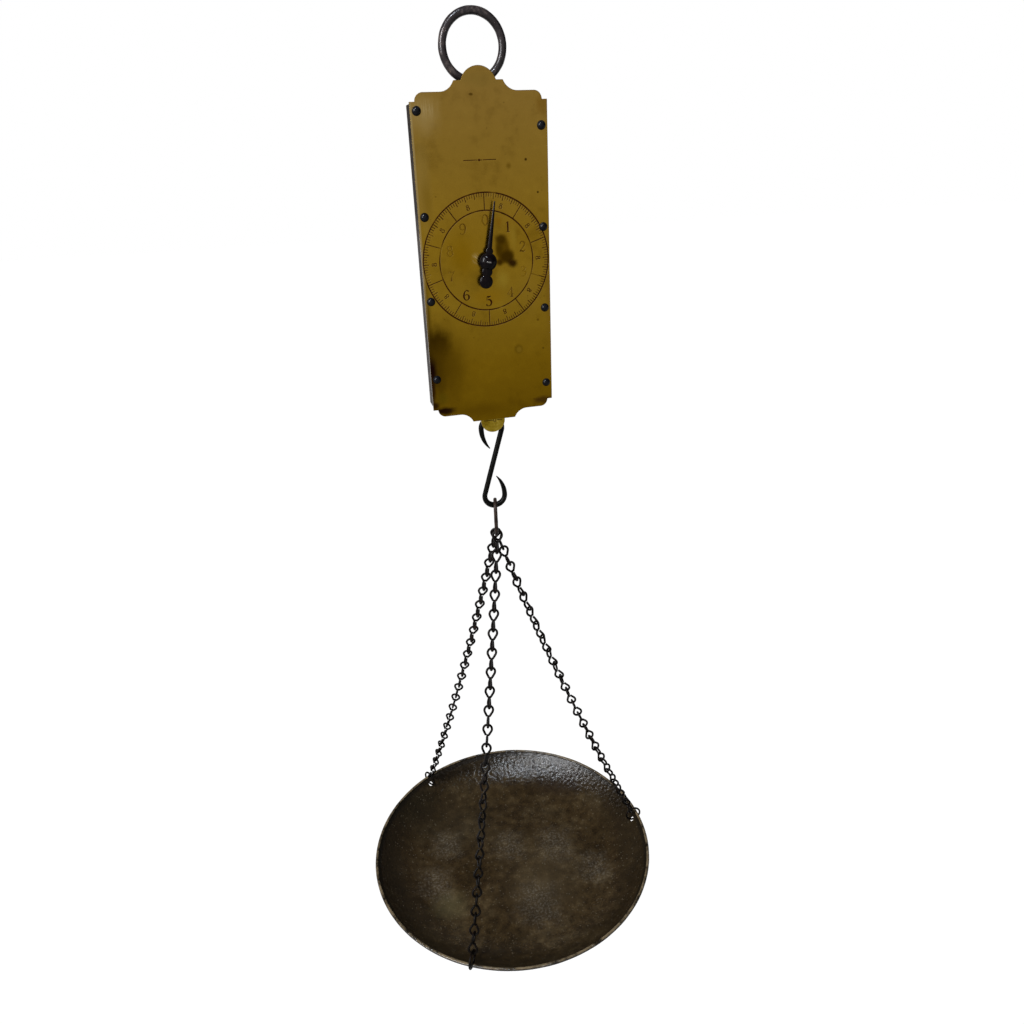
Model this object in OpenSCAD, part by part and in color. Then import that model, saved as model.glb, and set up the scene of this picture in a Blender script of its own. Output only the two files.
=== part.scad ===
// Spring balance: a brass dial plate on a sheet-iron case, hung from a ring,
// with an S hook, a hanger and a round pan on three jack chains.
// Millimetres, +Z up, the dial faces -Y. The origin is the centre of the hanging ring.

/* [Hanging ring] */
// Outer diameter of the ring
ring_od = 44; // [40:0.5:60]
// Diameter of the ring's round bar
ring_bar = 5.3; // [4:0.1:6.5]

/* [Suspension eye] */
// How much wider the eye's hole is than the ring's bar
eye_play = 1.7; // [1:0.1:3]
// Thickness of the eye along its hole
eye_t = 5.5; // [4:0.5:7]
// Metal left round the eye's hole
eye_wall = 3; // [2:0.25:5]
// Diameter of the eye's shank
eye_shank = 6; // [4:0.5:8]
// Height of the nut on the shank
eye_nut_h = 4; // [3:0.5:6]

/* [Dial plate] */
// Width of the plate
plate_w = 89; // [84:0.5:110]
// Thickness of the plate
plate_t = 1.6; // [1:0.1:2.5]
// Drop from the ring's lowest bar to the centre of the dial
dial_drop = 108.6; // [106:0.2:130]
// Height of the plate's sides above the dial centre
side_up = 97.1; // [90:0.1:104]
// Length of the plate's sides below the dial centre
side_down = 100.4; // [94:0.1:120]
// Step in from the side to the rounded ear
ear_step = 3.5; // [2:0.25:5]
// Radius of the rounded ears
ear_r = 5.2; // [3:0.1:8]
// Width of the flat neck above and below the shoulders
neck_w = 31.5; // [26:0.5:36]
// Height of the neck above the shoulders
neck_rise = 6.2; // [4:0.1:8]
// Radius of the coves beside the neck
cove_r = 10; // [9:0.25:12]
// Radius of the dome on the upper neck
dome_r = 12; // [10:0.25:14]
// Height of the dome above the upper neck
dome_rise = 8; // [6:0.25:9]

/* [Case] */
// Depth of the case behind the plate
case_depth = 22; // [21:0.5:30]
// Distance from the back of the plate to the hanging line
axis_back = 10.4; // [10:0.1:13]
// How far the case stays inside the plate's sides
case_inset = 1; // [0.5:0.1:3]
// Thickness of the sheet
sheet_t = 1.2; // [0.8:0.1:2]
// Width of the front flanges that take the screws
flange_w = 8; // [6:0.5:10]
// Outer radius of the folded back edges
fold_r = 3; // [2.2:0.1:5]

/* [Plate screws] */
// Diameter of the screws
screw_d = 2.9; // [2:0.1:3.5]
// Diameter of the round heads
screw_head_d = 5.8; // [4.5:0.1:7]
// Height of the round heads
screw_head_h = 2.2; // [1.5:0.1:2.8]
// Distance of the screws from the plate's sides
screw_in = 4.2; // [3.7:0.1:5]
// Highest screw on the left, above the dial centre
screw_top_left = 92; // [80:0.5:93]
// Highest screw on the right, above the dial centre
screw_top_right = 82; // [76:0.5:93]
// How far the screws reach behind the flanges
screw_end = 2.6; // [1.5:0.1:4]

/* [Springs] */
// Diameter of the spring wire
spring_wire = 2; // [1.2:0.1:2.2]
// Outer diameter of the springs
spring_od = 14; // [11:0.5:15]
// Number of turns in each spring
spring_turns = 24; // [16:1:26]
// Length of each spring with the empty pan
spring_len = 122; // [112:1:130]
// Distance of the springs from the middle
spring_x = 23.5; // [23:0.5:28]
// Height of the bar that the springs hang from
top_bar_h = 6; // [4:0.5:9]
// Depth of the bar that the springs hang from
top_bar_d = 10; // [8:0.5:14]

/* [Crosshead and draw bar] */
// Height of the crosshead
head_h = 7; // [5:0.5:9]
// Width of the crosshead
head_w = 61; // [58:1:70]
// Depth of the crosshead
head_d = 10.4; // [9:0.2:11]
// Diameter of the draw bar's threaded top
draw_thread = 6; // [4:0.5:6.5]
// Thickness of the draw bar along its eye
draw_t = 5; // [4:0.5:7]
// Width of the draw bar from front to back
draw_w = 11.6; // [10.8:0.1:12.4]
// How much wider the draw bar's eye is than the hook's wire
draw_play = 1.6; // [1:0.1:2.2]
// Distance from the case's lower end to the eye of the draw bar
draw_eye_drop = 14.3; // [12.5:0.1:20]
// Width of the brass tab
tab_w = 18; // [14:0.5:22]
// Thickness of the brass tab
tab_t = 1.4; // [0.8:0.1:1.8]
// How far the tab reaches below the draw bar's eye
tab_tail = 9; // [7:0.25:11]

/* [Rack and pinion] */
// Teeth on the pinion
pinion_teeth = 8; // [8:1:12]
// Module of the teeth
tooth_module = 0.5; // [0.45:0.01:0.55]
// Pressure angle of the teeth
pressure_angle = 25; // [23:0.5:27]
// Turns of the pointer over the whole travel
pointer_turns = 3; // [1:0.5:3]
// Thickness of the rack
rack_t = 3; // [2:0.25:3.5]
// Width of the rack behind its teeth
rack_body = 3.4; // [2.5:0.1:4]
// Diameter of the arbor in its front bush
arbor_d = 3; // [2.4:0.1:3.2]
// Diameter of the arbor's rear pivot
pivot_d = 2; // [1.4:0.1:2.2]
// Outer diameter of the front bush
bush_d = 8; // [6:0.5:10]
// Thickness of the bridge that holds the rear pivot
bridge_t = 1.6; // [1.2:0.1:2.4]
// Distance of the bridge's pillars from the arbor
pillar_x = 12; // [11.5:0.1:12.4]
// Diameter of the bridge's pillars
pillar_d = 4; // [3.5:0.1:4.4]

/* [Pointer] */
// Length of the pointer from the hub to the tip
pointer_len = 37.5; // [28:0.5:41]
// Diameter of the pointer's hub
hub_d = 12; // [9:0.5:13]
// Thickness of the pointer
pointer_t = 1.2; // [0.8:0.1:2]
// Gap between the plate and the back of the pointer
pointer_gap = 3.4; // [2.4:0.1:5]
// Diameter of the ball on the pointer's tail
tail_d = 9.3; // [7:0.1:11]
// Where the pointer stands with the empty pan, clockwise from the top
pointer_rest = 7; // [0:0.5:30]

/* [S hook] */
// Overall length of the hook
hook_len = 76.2; // [70:0.2:90]
// Diameter of the hook's wire
hook_wire = 4.8; // [4:0.1:5.2]
// Outer width of the hook's loops
hook_loop = 20.8; // [19:0.1:24]
// Radius of the curve that draws each point in
hook_tip_r = 24.5; // [22:0.5:30]
// Angle of the curve that draws each point in
hook_tip_a = 41; // [30:1:44]
// Diameter at the points
hook_point = 0.9; // [0.6:0.1:1.6]

/* [Hanger] */
// Overall length of the hanger
hanger_len = 32; // [30:0.5:40]
// Overall width of the hanger
hanger_w = 19; // [18.5:0.5:24]
// Diameter of the hanger's wire
hanger_wire = 3; // [2.4:0.1:3.1]

/* [Chains] */
// Links in each chain
chain_links = 22; // [18:1:26]
// Overall length of a link
link_len = 20.1; // [19:0.1:22]
// Outer width of a link's loops
loop_od = 9.1; // [9:0.1:9.6]
// Diameter of the chain wire
chain_wire = 1.95; // [1.6:0.05:2]
// Angle through which each chain bows under its own weight
chain_bow = 6.5; // [2:0.5:10]
// Distance between the chains' first links along the hanger's bend
chain_step = 3; // [2.9:0.1:3.4]
// Outer diameter of the rings that tie the chains to the pan
pan_ring_od = 16; // [15:0.25:19]

/* [Pan] */
// Diameter of the pan over its rim
pan_od = 265; // [220:1:300]
// Depth of the pan
pan_depth = 29; // [22:0.5:40]
// Thickness of the pan's sheet
pan_t = 1.2; // [0.8:0.1:2]
// Diameter of the flat floor
pan_floor = 147; // [120:1:170]
// Diameter of the rolled rim
pan_bead = 3; // [2.4:0.1:3.6]
// Distance of the chain holes from the edge
hole_in = 6.5; // [6:0.1:8]
// Diameter of the chain holes
hole_d = 4.4; // [3.6:0.1:5]

/* [Hidden] */
$fn = 48;

// Clearances: pieces that touch, sliding and running fits, holes for fasteners
touch = 0.05;
run_fit = 0.03;
hole_fit = 0.1;
slot_fit = 0.3;
// Overlap that joins shapes within one piece
weld = 0.02;
// A straight stretch of round bar is this much thinner than the bend that it runs into
seat = 0.03;
seat_in = 0.3;

// Hanging ring and suspension eye
ring_mid = (ring_od - ring_bar) / 2;
swing_z = -ring_mid;
eye_hole_r = (ring_bar + eye_play) / 2;
eye_r = eye_hole_r + eye_wall;
// a bent bar rises this much across the width of what hangs on it
function sag(inner_r, width) = inner_r - sqrt(pow(inner_r, 2) - pow(width / 2, 2));
eye_sag = sag(ring_mid - ring_bar / 2, eye_t);
eye_z = swing_z - (eye_hole_r - ring_bar / 2 - eye_sag - touch);

// Plate and case, measured from the dial centre
dial_z = swing_z - dial_drop;
plate_back = -axis_back;
plate_front = plate_back - plate_t;
side_top = dial_z + side_up;
side_low = dial_z - side_down;
cove_x = neck_w / 2 + sqrt(pow(cove_r, 2) - pow(cove_r - neck_rise, 2));
case_w = plate_w - 2 * case_inset;
case_gap = 0.6;
case_top = side_top - case_gap;
case_low = side_low + case_gap;
case_back = plate_back + case_depth;
case_in_w = case_w - 2 * sheet_t;
end_flange = sheet_t + 2;

// Screws: the spacing down each side
screw_x = plate_w / 2 - screw_in;
screw_drops = [0, 62, 116, 170];

// Top bar, eye shank and rivets
bar_top = case_top - sheet_t;
bar_low = bar_top - top_bar_h;
bar_w = case_in_w - 2 * hole_fit;
eye_collar_h = 2;
eye_nut_af = 10;
rivet_d = 3;
rivet_in = 8.3;
rivet_x = case_in_w / 2 - rivet_in;
rivet_head = 5.4;

// Rack, pinion and travel
pitch_r = tooth_module * pinion_teeth / 2;
tooth_pitch = PI * tooth_module;
travel = pointer_turns * 2 * PI * pitch_r;
backlash = 0.08;
pinion_tip_r = pitch_r + tooth_module;
pinion_root_r = pitch_r - 1.2 * tooth_module;
rack_tip = pitch_r - 0.7 * tooth_module;
rack_root = pitch_r + 1.25 * tooth_module;
rack_back = rack_root + rack_body;
rack_y = -head_d / 2 - rack_t;
spare_teeth = 3;
rack_top = dial_z + travel + (spare_teeth + 1) * tooth_pitch;

// Crosshead and draw bar
head_top = bar_low - spring_len;
head_low = head_top - head_h;
draw_nut_h = 4.5;
draw_nut_af = 9;
draw_eye_r = (hook_wire + draw_play) / 2;
draw_eye_z = case_low - draw_eye_drop;
tab_back = -draw_w / 2;
tab_low = draw_eye_z - tab_tail;
// what stays inside the case of the tab at full travel
tab_hidden = 3;
tab_top = case_low + travel + tab_hidden;
tab_rivet_d = 2.4;
tab_rivet_head = 0.8;
tab_rivet_in = 5;
tab_rivet_step = 19;
rivet_rows = [tab_top - tab_rivet_in, tab_top - tab_rivet_in - tab_rivet_step];

// Arbor and bridge
pinion_over = 0.4;
pinion_len = rack_t + 2 * pinion_over;
pinion_front = rack_y - pinion_over;
bridge_gap = 0.6;
bridge_y = pinion_front + pinion_len + bridge_gap;
bridge_h = 10;
bush_flange = 3;
bush_flange_t = 1;
guide_d = 3;
pointer_back = plate_front - pointer_gap;
pointer_front = pointer_back - pointer_t;
hub_nut_h = 2.6;

// Hook: its centre, its loops and its shank
hook_r = (hook_loop - hook_wire) / 2;
hook_sag = sag(hook_r - hook_wire / 2, draw_t);
hook_top_z = draw_eye_z - draw_eye_r + hook_wire / 2 + hook_sag + touch;
hook_c = hook_len / 2 - hook_loop / 2;
hook_z = hook_top_z - hook_r - hook_c;
hook_low_z = hook_z - hook_c - hook_r;
shank_a = asin(hook_r / hook_c);
shank_half = sqrt(pow(hook_c, 2) - pow(hook_r, 2));
tip_steps = 5;

// Hanger
hanger_top = hook_low_z + hook_wire / 2 + hanger_wire / 2 + touch;
hanger_r = (hanger_w - hanger_wire) / 2;
hanger_low = hanger_top - (hanger_len - hanger_wire);

// Pan, measured from the middle of its rolled rim
bead_r = pan_od / 2 - pan_bead / 2;
floor_r = pan_floor / 2;
wall_drop = pan_depth - pan_bead / 2 - pan_t / 2;
wall_r = (pow(bead_r - floor_r, 2) + pow(wall_drop, 2)) / (2 * wall_drop);
hole_r_pos = pan_od / 2 - hole_in;
hole_a = asin((hole_r_pos - floor_r) / wall_r);
hole_drop = wall_drop - wall_r * (1 - cos(hole_a));

// Rings that tie the chains to the pan: through the hole and round the rim
ring_gap = 0.15;
tie_r = (pan_ring_od - chain_wire) / 2;
tie_reach = tie_r - chain_wire / 2 - pan_bead / 2 - ring_gap;
hole_to_bead = sqrt(pow(bead_r - hole_r_pos, 2) + pow(hole_drop, 2));
tie_along = (pow(tie_r, 2) - pow(tie_reach, 2) + pow(hole_to_bead, 2)) / (2 * hole_to_bead);
tie_off = sqrt(pow(tie_r, 2) - pow(tie_along, 2));
tie_x = hole_r_pos + (tie_along * (bead_r - hole_r_pos) - tie_off * hole_drop) / hole_to_bead;
tie_z = -hole_drop + (tie_along * hole_drop + tie_off * (bead_r - hole_r_pos)) / hole_to_bead;
tie_lean = 24;
tie_top_r = tie_x - tie_r * sin(tie_lean);
tie_top_h = tie_z + tie_r * cos(tie_lean);

// Chains: links pass through each other with a small gap
link_gap = 0.08;
loop_r = (loop_od - chain_wire) / 2;
link_pitch = link_len - 2 * chain_wire - link_gap;
hang_gap = 0.2;
chain_ends = hanger_wire / 2 + hang_gap + chain_wire / 2;
chain_chord = link_pitch * sin(chain_bow / 2) / sin(chain_bow / (2 * chain_links));
pan_z = hanger_low - sqrt(pow(chain_chord - chain_ends, 2) - pow(tie_top_r, 2)) - tie_top_h;
// One row for each chain: direction, place on the hanger, turn of the last link, first link turned
chain_rows = [[120, 1, -58, 8], [0, 0, 150, 0], [240, -1, -122, 8]];

// Rectangle with round corners, centred
module round_rect(w, h, r) {
    square([w - 2 * r, h], center = true);
    square([w, h - 2 * r], center = true);
    for (x = [-1, 1], y = [-1, 1])
        translate([x * (w / 2 - r), y * (h / 2 - r)]) circle(r);
}

// Outline of the case seen from above: square in front, round at the folded back edges
module case_outline(w, front, back, r) {
    translate([-w / 2, front]) square([w, back - front - r]);
    translate([-w / 2 + r, front]) square([w - 2 * r, back - front]);
    for (s = [-1, 1]) translate([s * (w / 2 - r), back - r]) circle(r);
}

// Cylinder along -Y from a given y, so that depths read from back to front
module along_y(y0, y1, r) {
    translate([0, y1, 0]) rotate([90, 0, 0]) cylinder(h = y1 - y0, r = r);
}

// Hexagon nut round the Z axis with a clear hole
module hex_nut(af, h, hole) {
    difference() {
        cylinder(h = h, r = af / 2 / cos(30), $fn = 6);
        translate([0, 0, -1]) cylinder(h = h + 2, r = hole / 2 + hole_fit);
    }
}

// Round bar bent through an angle in the XY plane, starting at start_a
module bent_bar(bend, bar_r, start_a, sweep_a) {
    rotate([0, 0, start_a])
        rotate_extrude(angle = sweep_a) translate([bend, 0]) circle(bar_r);
}

module hanging_ring() {
    color("dimgray")
        rotate([90, 0, 0]) rotate_extrude() translate([ring_mid, 0]) circle(ring_bar / 2);
}

module suspension_eye() {
    color("dimgray") difference() {
        union() {
            translate([-eye_t / 2, 0, eye_z]) rotate([0, 90, 0]) cylinder(h = eye_t, r = eye_r);
            translate([0, 0, case_top]) cylinder(h = eye_collar_h, r = eye_shank / 2 + 2);
            translate([0, 0, bar_low - eye_nut_h - 1])
                cylinder(h = eye_z - eye_hole_r - 1 - bar_low + eye_nut_h + 1, r = eye_shank / 2);
        }
        translate([-eye_t, 0, eye_z]) rotate([0, 90, 0]) cylinder(h = 2 * eye_t, r = eye_hole_r);
    }
}

module eye_nut() {
    color("gray") translate([0, 0, bar_low - eye_nut_h]) hex_nut(eye_nut_af, eye_nut_h, eye_shank);
}

// Half of the plate's outline above the dial centre: up is +Y in this drawing
module plate_end(side, dome) {
    shoulder = side + ear_r;
    neck = shoulder + neck_rise;
    ear_x = plate_w / 2 - ear_step - ear_r;
    translate([-plate_w / 2, 0]) square([plate_w, side]);
    translate([-ear_x, 0]) square([2 * ear_x, shoulder]);
    for (s = [-1, 1]) translate([s * ear_x, side]) circle(ear_r);
    difference() {
        translate([-cove_x, 0]) square([2 * cove_x, neck]);
        for (s = [-1, 1]) translate([s * cove_x, shoulder + cove_r]) circle(cove_r);
    }
    if (dome) translate([0, neck + dome_rise - dome_r]) circle(dome_r);
}

module screw_places() {
    for (drop = screw_drops) {
        translate([-screw_x, 0, dial_z + screw_top_left - drop]) children();
        translate([screw_x, 0, dial_z + screw_top_right - drop]) children();
    }
}

module dial_plate() {
    color("darkgoldenrod") difference() {
        translate([0, plate_back, dial_z]) rotate([90, 0, 0]) linear_extrude(plate_t) {
            plate_end(side_up, true);
            mirror([0, 1]) plate_end(side_down, false);
        }
        translate([0, 0, dial_z]) along_y(plate_front - 1, plate_back + 1, bush_d / 2 + touch);
        screw_places() along_y(plate_front - 1, plate_back + 1, screw_d / 2 + hole_fit);
    }
}

module case_shell() {
    tall = case_top - case_low;
    slot_y = [tab_back - tab_t - tab_rivet_head - slot_fit, draw_w / 2 + slot_fit];
    color("saddlebrown") difference() {
        translate([0, 0, case_low]) linear_extrude(tall)
            case_outline(case_w, plate_back, case_back, fold_r);
        translate([0, 0, case_low + sheet_t]) linear_extrude(tall - 2 * sheet_t)
            case_outline(case_in_w, plate_back + sheet_t, case_back - sheet_t, fold_r - sheet_t);
        // front opening between the flanges
        translate([-case_w / 2 + flange_w, plate_back - 1, case_low + end_flange])
            cube([case_w - 2 * flange_w, sheet_t + 2, tall - 2 * end_flange]);
        // hole for the eye's shank and slot for the draw bar and its tab
        translate([0, 0, bar_top - 1]) cylinder(h = sheet_t + 2, r = eye_shank / 2 + hole_fit);
        for (s = [-1, 1]) translate([s * rivet_x, 0, bar_top - 1])
            cylinder(h = sheet_t + 2, r = rivet_d / 2 + hole_fit);
        translate([-draw_t / 2 - slot_fit, slot_y[0], case_low - 1])
            cube([draw_t + 2 * slot_fit, slot_y[1] - slot_y[0], sheet_t + 2]);
        translate([-tab_w / 2 - slot_fit, slot_y[0], case_low - 1])
            cube([tab_w + 2 * slot_fit, tab_t + tab_rivet_head + 2 * slot_fit, sheet_t + 2]);
        // the flanges are tapped for the plate's screws
        screw_places() along_y(plate_back - 1, plate_back + sheet_t + 1, screw_d / 2 + touch);
    }
}

module plate_screws() {
    // a round head is the cap of a sphere that is as wide as the head at its base
    dome = (pow(screw_head_d / 2, 2) + pow(screw_head_h, 2)) / (2 * screw_head_h);
    back = plate_back + sheet_t + screw_end;
    color("dimgray") screw_places() {
        difference() {
            translate([0, plate_front - screw_head_h + dome, 0]) sphere(dome);
            translate([-dome - 1, plate_front, -dome - 1]) cube(2 * dome + 2);
        }
        along_y(plate_front - weld, back, screw_d / 2);
    }
}

module top_bar() {
    color("dimgray") difference() {
        translate([-bar_w / 2, -top_bar_d / 2, bar_low]) cube([bar_w, top_bar_d, top_bar_h]);
        translate([0, 0, bar_low - 1]) cylinder(h = top_bar_h + 2, r = eye_shank / 2 + hole_fit);
        for (s = [-1, 1]) translate([s * rivet_x, 0, bar_low - 1])
            cylinder(h = top_bar_h + 2, r = rivet_d / 2 + hole_fit);
    }
}

module top_bar_rivets() {
    color("gray") for (s = [-1, 1]) translate([s * rivet_x, 0, 0]) {
        translate([0, 0, bar_low - 1]) cylinder(h = case_top - bar_low + 1, r = rivet_d / 2);
        translate([0, 0, case_top]) cylinder(h = 1.2, r1 = rivet_head / 2, r2 = rivet_head / 3);
        translate([0, 0, bar_low - 1.2]) cylinder(h = 1.2, r1 = rivet_head / 3, r2 = rivet_head / 2);
    }
}

// A coil that winds out from its axis to its full radius, and back in at the other end
lead_turns = 2;
rings_a_turn = 8;
tube_sides = 6;
coil_r = (spring_od - spring_wire) / 2;
coil_rise = (spring_len - 2 * spring_wire) / spring_turns;
function ease(t) = t * t * (3 - 2 * t);
function coil_point(u) =
    let (r = coil_r * ease(min(1, u / lead_turns, (spring_turns - u) / lead_turns)))
    [r * cos(360 * u), r * sin(360 * u), spring_wire + coil_rise * u];
coil_path = concat([[0, 0, 0]],
    [for (i = [0:spring_turns * rings_a_turn]) coil_point(i / rings_a_turn)],
    [[0, 0, spring_len]]);
function unit(v) = v / norm(v);
function path_way(p, i) =
    i == 0 || i == len(p) - 1 ? [0, 0, 1] : unit(unit(p[i + 1] - p[i]) + unit(p[i] - p[i - 1]));
// Least gap between turns, measured between points more than half a turn apart
coil_gap = min([for (i = [0:len(coil_path) - 1], j = [i + rings_a_turn / 2:1:len(coil_path) - 1])
    norm(coil_path[i] - coil_path[j])]) - spring_wire;
echo(least_gap_of_spring_to_itself_mm = coil_gap);

module spring() {
    rings = len(coil_path);
    // each ring is square to the path, with its first corner turned towards the horizontal
    points = [for (i = [0:rings - 1])
        let (way = path_way(coil_path, i),
            turn = 360 * (i - 1) / rings_a_turn,
            flat = unit(cross(way, [cos(turn), sin(turn), 0])),
            up = cross(flat, way))
        for (k = [0:tube_sides - 1]) coil_path[i]
            + spring_wire / 2 * (cos(360 * k / tube_sides) * flat + sin(360 * k / tube_sides) * up)];
    sides = [for (i = [0:rings - 2], k = [0:tube_sides - 1], half = [0, 1])
        let (a = i * tube_sides + k, b = i * tube_sides + (k + 1) % tube_sides)
        half == 0 ? [a, b, b + tube_sides] : [a, b + tube_sides, a + tube_sides]];
    low_end = [for (k = [1:tube_sides - 2]) [0, k + 1, k]];
    last = (rings - 1) * tube_sides;
    high_end = [for (k = [1:tube_sides - 2]) [last, last + k, last + k + 1]];
    polyhedron(points = points, faces = concat(sides, low_end, high_end), convexity = 6);
}

module spring_left() {
    color("slategray") translate([-spring_x, 0, head_top]) spring();
}

module spring_right() {
    color("slategray") translate([spring_x, 0, head_top]) mirror([1, 0, 0]) spring();
}

module dial_bush() {
    color("goldenrod") translate([0, 0, dial_z]) difference() {
        union() {
            along_y(plate_front, plate_back + weld, bush_d / 2);
            along_y(plate_back, plate_back + bush_flange_t, bush_d / 2 + bush_flange / 2);
        }
        along_y(plate_front - 1, plate_back + bush_flange_t + 1, arbor_d / 2 + run_fit);
    }
}

module pillar_places() {
    for (s = [-1, 1]) translate([s * pillar_x, 0, dial_z]) children();
}

module bridge() {
    color("goldenrod") difference() {
        translate([0, bridge_y + bridge_t, dial_z]) rotate([90, 0, 0]) linear_extrude(bridge_t)
            round_rect(2 * pillar_x + pillar_d + 1, bridge_h, 2.5);
        translate([0, 0, dial_z]) along_y(bridge_y - 1, bridge_y + bridge_t + 1, pivot_d / 2 + run_fit);
        pillar_places() along_y(bridge_y - 1, bridge_y + bridge_t + 1, 1 + hole_fit);
    }
}

module bridge_pillars() {
    color("goldenrod") pillar_places() difference() {
        along_y(plate_back, bridge_y, pillar_d / 2);
        along_y(bridge_y - 4, bridge_y + 1, 1 + hole_fit);
    }
}

module bridge_screws() {
    color("gray") pillar_places() {
        along_y(bridge_y - 3.8, bridge_y + bridge_t + weld, 1);
        difference() {
            along_y(bridge_y + bridge_t, bridge_y + bridge_t + 1.3, 2);
            translate([-3, bridge_y + bridge_t + 0.8, -0.3]) cube([6, 2, 0.6]);
        }
    }
}

module rack_guide() {
    color("goldenrod") translate([rack_back + touch + guide_d / 2, 0, dial_z])
        along_y(plate_back, bridge_y, guide_d / 2);
}

// Involute pinion in the XY plane, with a tooth on +X
function involute_deg(a) = tan(a) * 180 / PI - a;
base_r = pitch_r * cos(pressure_angle);
half_tooth = (tooth_pitch / 2 - backlash / 2) / 2 / pitch_r * 180 / PI + involute_deg(pressure_angle);
flank_steps = 4;
function flank(s, i) =
    let (r = base_r + (pinion_tip_r - base_r) * i / flank_steps,
        a = s * (half_tooth - involute_deg(acos(base_r / r))))
    [r, a];
function pinion_outline() = [for (t = [0:pinion_teeth - 1])
    let (mid = 360 * t / pinion_teeth,
        row = concat([[pinion_root_r, -half_tooth]], [for (i = [0:flank_steps]) flank(-1, i)],
            [for (i = [flank_steps:-1:0]) flank(1, i)], [[pinion_root_r, half_tooth]]))
    for (p = row) [p[0] * cos(mid + p[1]), p[0] * sin(mid + p[1])]];

module pinion_arbor() {
    color("lightsteelblue") translate([0, 0, dial_z]) {
        translate([0, pinion_front + pinion_len, 0]) rotate([90, 0, 0])
            linear_extrude(pinion_len) polygon(pinion_outline());
        along_y(pointer_front - hub_nut_h + 0.6, pinion_front + weld, arbor_d / 2);
        along_y(pinion_front + pinion_len - weld, bridge_y + bridge_t + 0.8, pivot_d / 2);
    }
}

module pointer_collet() {
    color("darkslategray") translate([0, 0, dial_z]) difference() {
        along_y(pointer_back, plate_front - 0.4, hub_d / 2 - 2.2);
        along_y(pointer_back - 1, plate_front, arbor_d / 2 + run_fit);
    }
}

// The pointer's outline, tip up: a slender blade, bosses and a weighted tail
module pointer_outline() {
    root = 3.4;
    tip = 0.8;
    boss_up = [6.8, 5.2];
    boss_down = [6.5, 7.4];
    tail_at = 13;
    circle(hub_d / 2);
    translate([0, boss_up[0]]) circle(boss_up[1] / 2);
    translate([0, -boss_down[0]]) circle(boss_down[1] / 2);
    translate([0, -tail_at]) circle(tail_d / 2);
    translate([-root / 2, -tail_at]) square([root, tail_at]);
    polygon([[-root / 2, 0], [root / 2, 0], [tip / 2, pointer_len], [-tip / 2, pointer_len]]);
}

module pointer() {
    color("black") translate([0, 0, dial_z]) rotate([0, pointer_rest, 0]) difference() {
        translate([0, pointer_back, 0]) rotate([90, 0, 0]) linear_extrude(pointer_t) pointer_outline();
        along_y(pointer_front - 1, pointer_back + 1, arbor_d / 2 + run_fit);
    }
}

module hub_nut() {
    base = hub_d / 2 - 0.8;
    dome = (pow(base, 2) + pow(hub_nut_h, 2)) / (2 * hub_nut_h);
    color("black") translate([0, 0, dial_z]) difference() {
        translate([0, pointer_front - hub_nut_h + dome, 0]) sphere(dome);
        translate([-dome - 1, pointer_front, -dome - 1]) cube(2 * dome + 2);
        along_y(pointer_front - hub_nut_h + 0.5, pointer_front + 1, arbor_d / 2 + run_fit);
        rotate([0, pointer_rest, 0]) translate([-base, pointer_front - hub_nut_h - 1, -0.5])
            cube([2 * base, 1.5, 1]);
    }
}

module crosshead() {
    color("dimgray") difference() {
        translate([-head_w / 2, -head_d / 2, head_low]) cube([head_w, head_d, head_h]);
        translate([0, 0, head_low - 1]) cylinder(h = head_h + 2, r = draw_thread / 2 + hole_fit);
        rack_screw_places() along_y(-head_d / 2 - 1, -head_d / 2 + 3.2, 0.8 + hole_fit);
    }
}

module rack_screw_places() {
    for (h = [0.28, 0.72]) translate([(rack_tip + rack_back) / 2, 0, head_low + h * head_h]) children();
}

// The rack's outline in XZ with its toothed edge on the left; a gap is level with the dial centre
module rack_outline() {
    half = (tooth_pitch / 2 - backlash / 2) / 2;
    half_tip = half - (pitch_r - rack_tip) * tan(pressure_angle);
    half_root = half + (rack_root - pitch_r) * tan(pressure_angle);
    first = -spare_teeth;
    count = ceil((rack_top - dial_z) / tooth_pitch) - 1;
    teeth = [for (t = [first:count - 1])
        let (z = dial_z + (t + 0.5) * tooth_pitch)
        for (p = [[rack_root, -half_root], [rack_tip, -half_tip], [rack_tip, half_tip],
            [rack_root, half_root]]) [p[0], z + p[1]]];
    polygon(concat([[rack_back, head_low], [rack_tip, head_low], [rack_tip, head_top],
        [rack_root, head_top]], teeth, [[rack_root, rack_top], [rack_back, rack_top]]));
}

module rack() {
    color("lightsteelblue") difference() {
        translate([0, rack_y + rack_t, 0]) rotate([90, 0, 0]) linear_extrude(rack_t) rack_outline();
        rack_screw_places() along_y(rack_y - 1, rack_y + rack_t + 1, 0.8 + hole_fit);
    }
}

module rack_screws() {
    color("gray") rack_screw_places() {
        along_y(rack_y - weld, -head_d / 2 + 3, 0.8);
        along_y(rack_y - 0.8, rack_y, 1.4);
    }
}

module draw_bar() {
    color("dimgray") difference() {
        union() {
            translate([0, 0, head_low - weld])
                cylinder(h = head_h + draw_nut_h + 1 + weld, r = draw_thread / 2);
            translate([-draw_t / 2, -draw_w / 2, draw_eye_z])
                cube([draw_t, draw_w, head_low - draw_eye_z]);
            translate([-draw_t / 2, 0, draw_eye_z]) rotate([0, 90, 0])
                cylinder(h = draw_t, r = draw_w / 2);
        }
        translate([-draw_t, 0, draw_eye_z]) rotate([0, 90, 0])
            cylinder(h = 2 * draw_t, r = draw_eye_r);
        for (z = rivet_rows) translate([0, 0, z])
            along_y(tab_back - 1, tab_back + 5, tab_rivet_d / 2 + hole_fit);
    }
}

module draw_bar_nut() {
    color("gray") translate([0, 0, head_top]) rotate([0, 0, 30])
        hex_nut(draw_nut_af, draw_nut_h, draw_thread);
}

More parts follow.
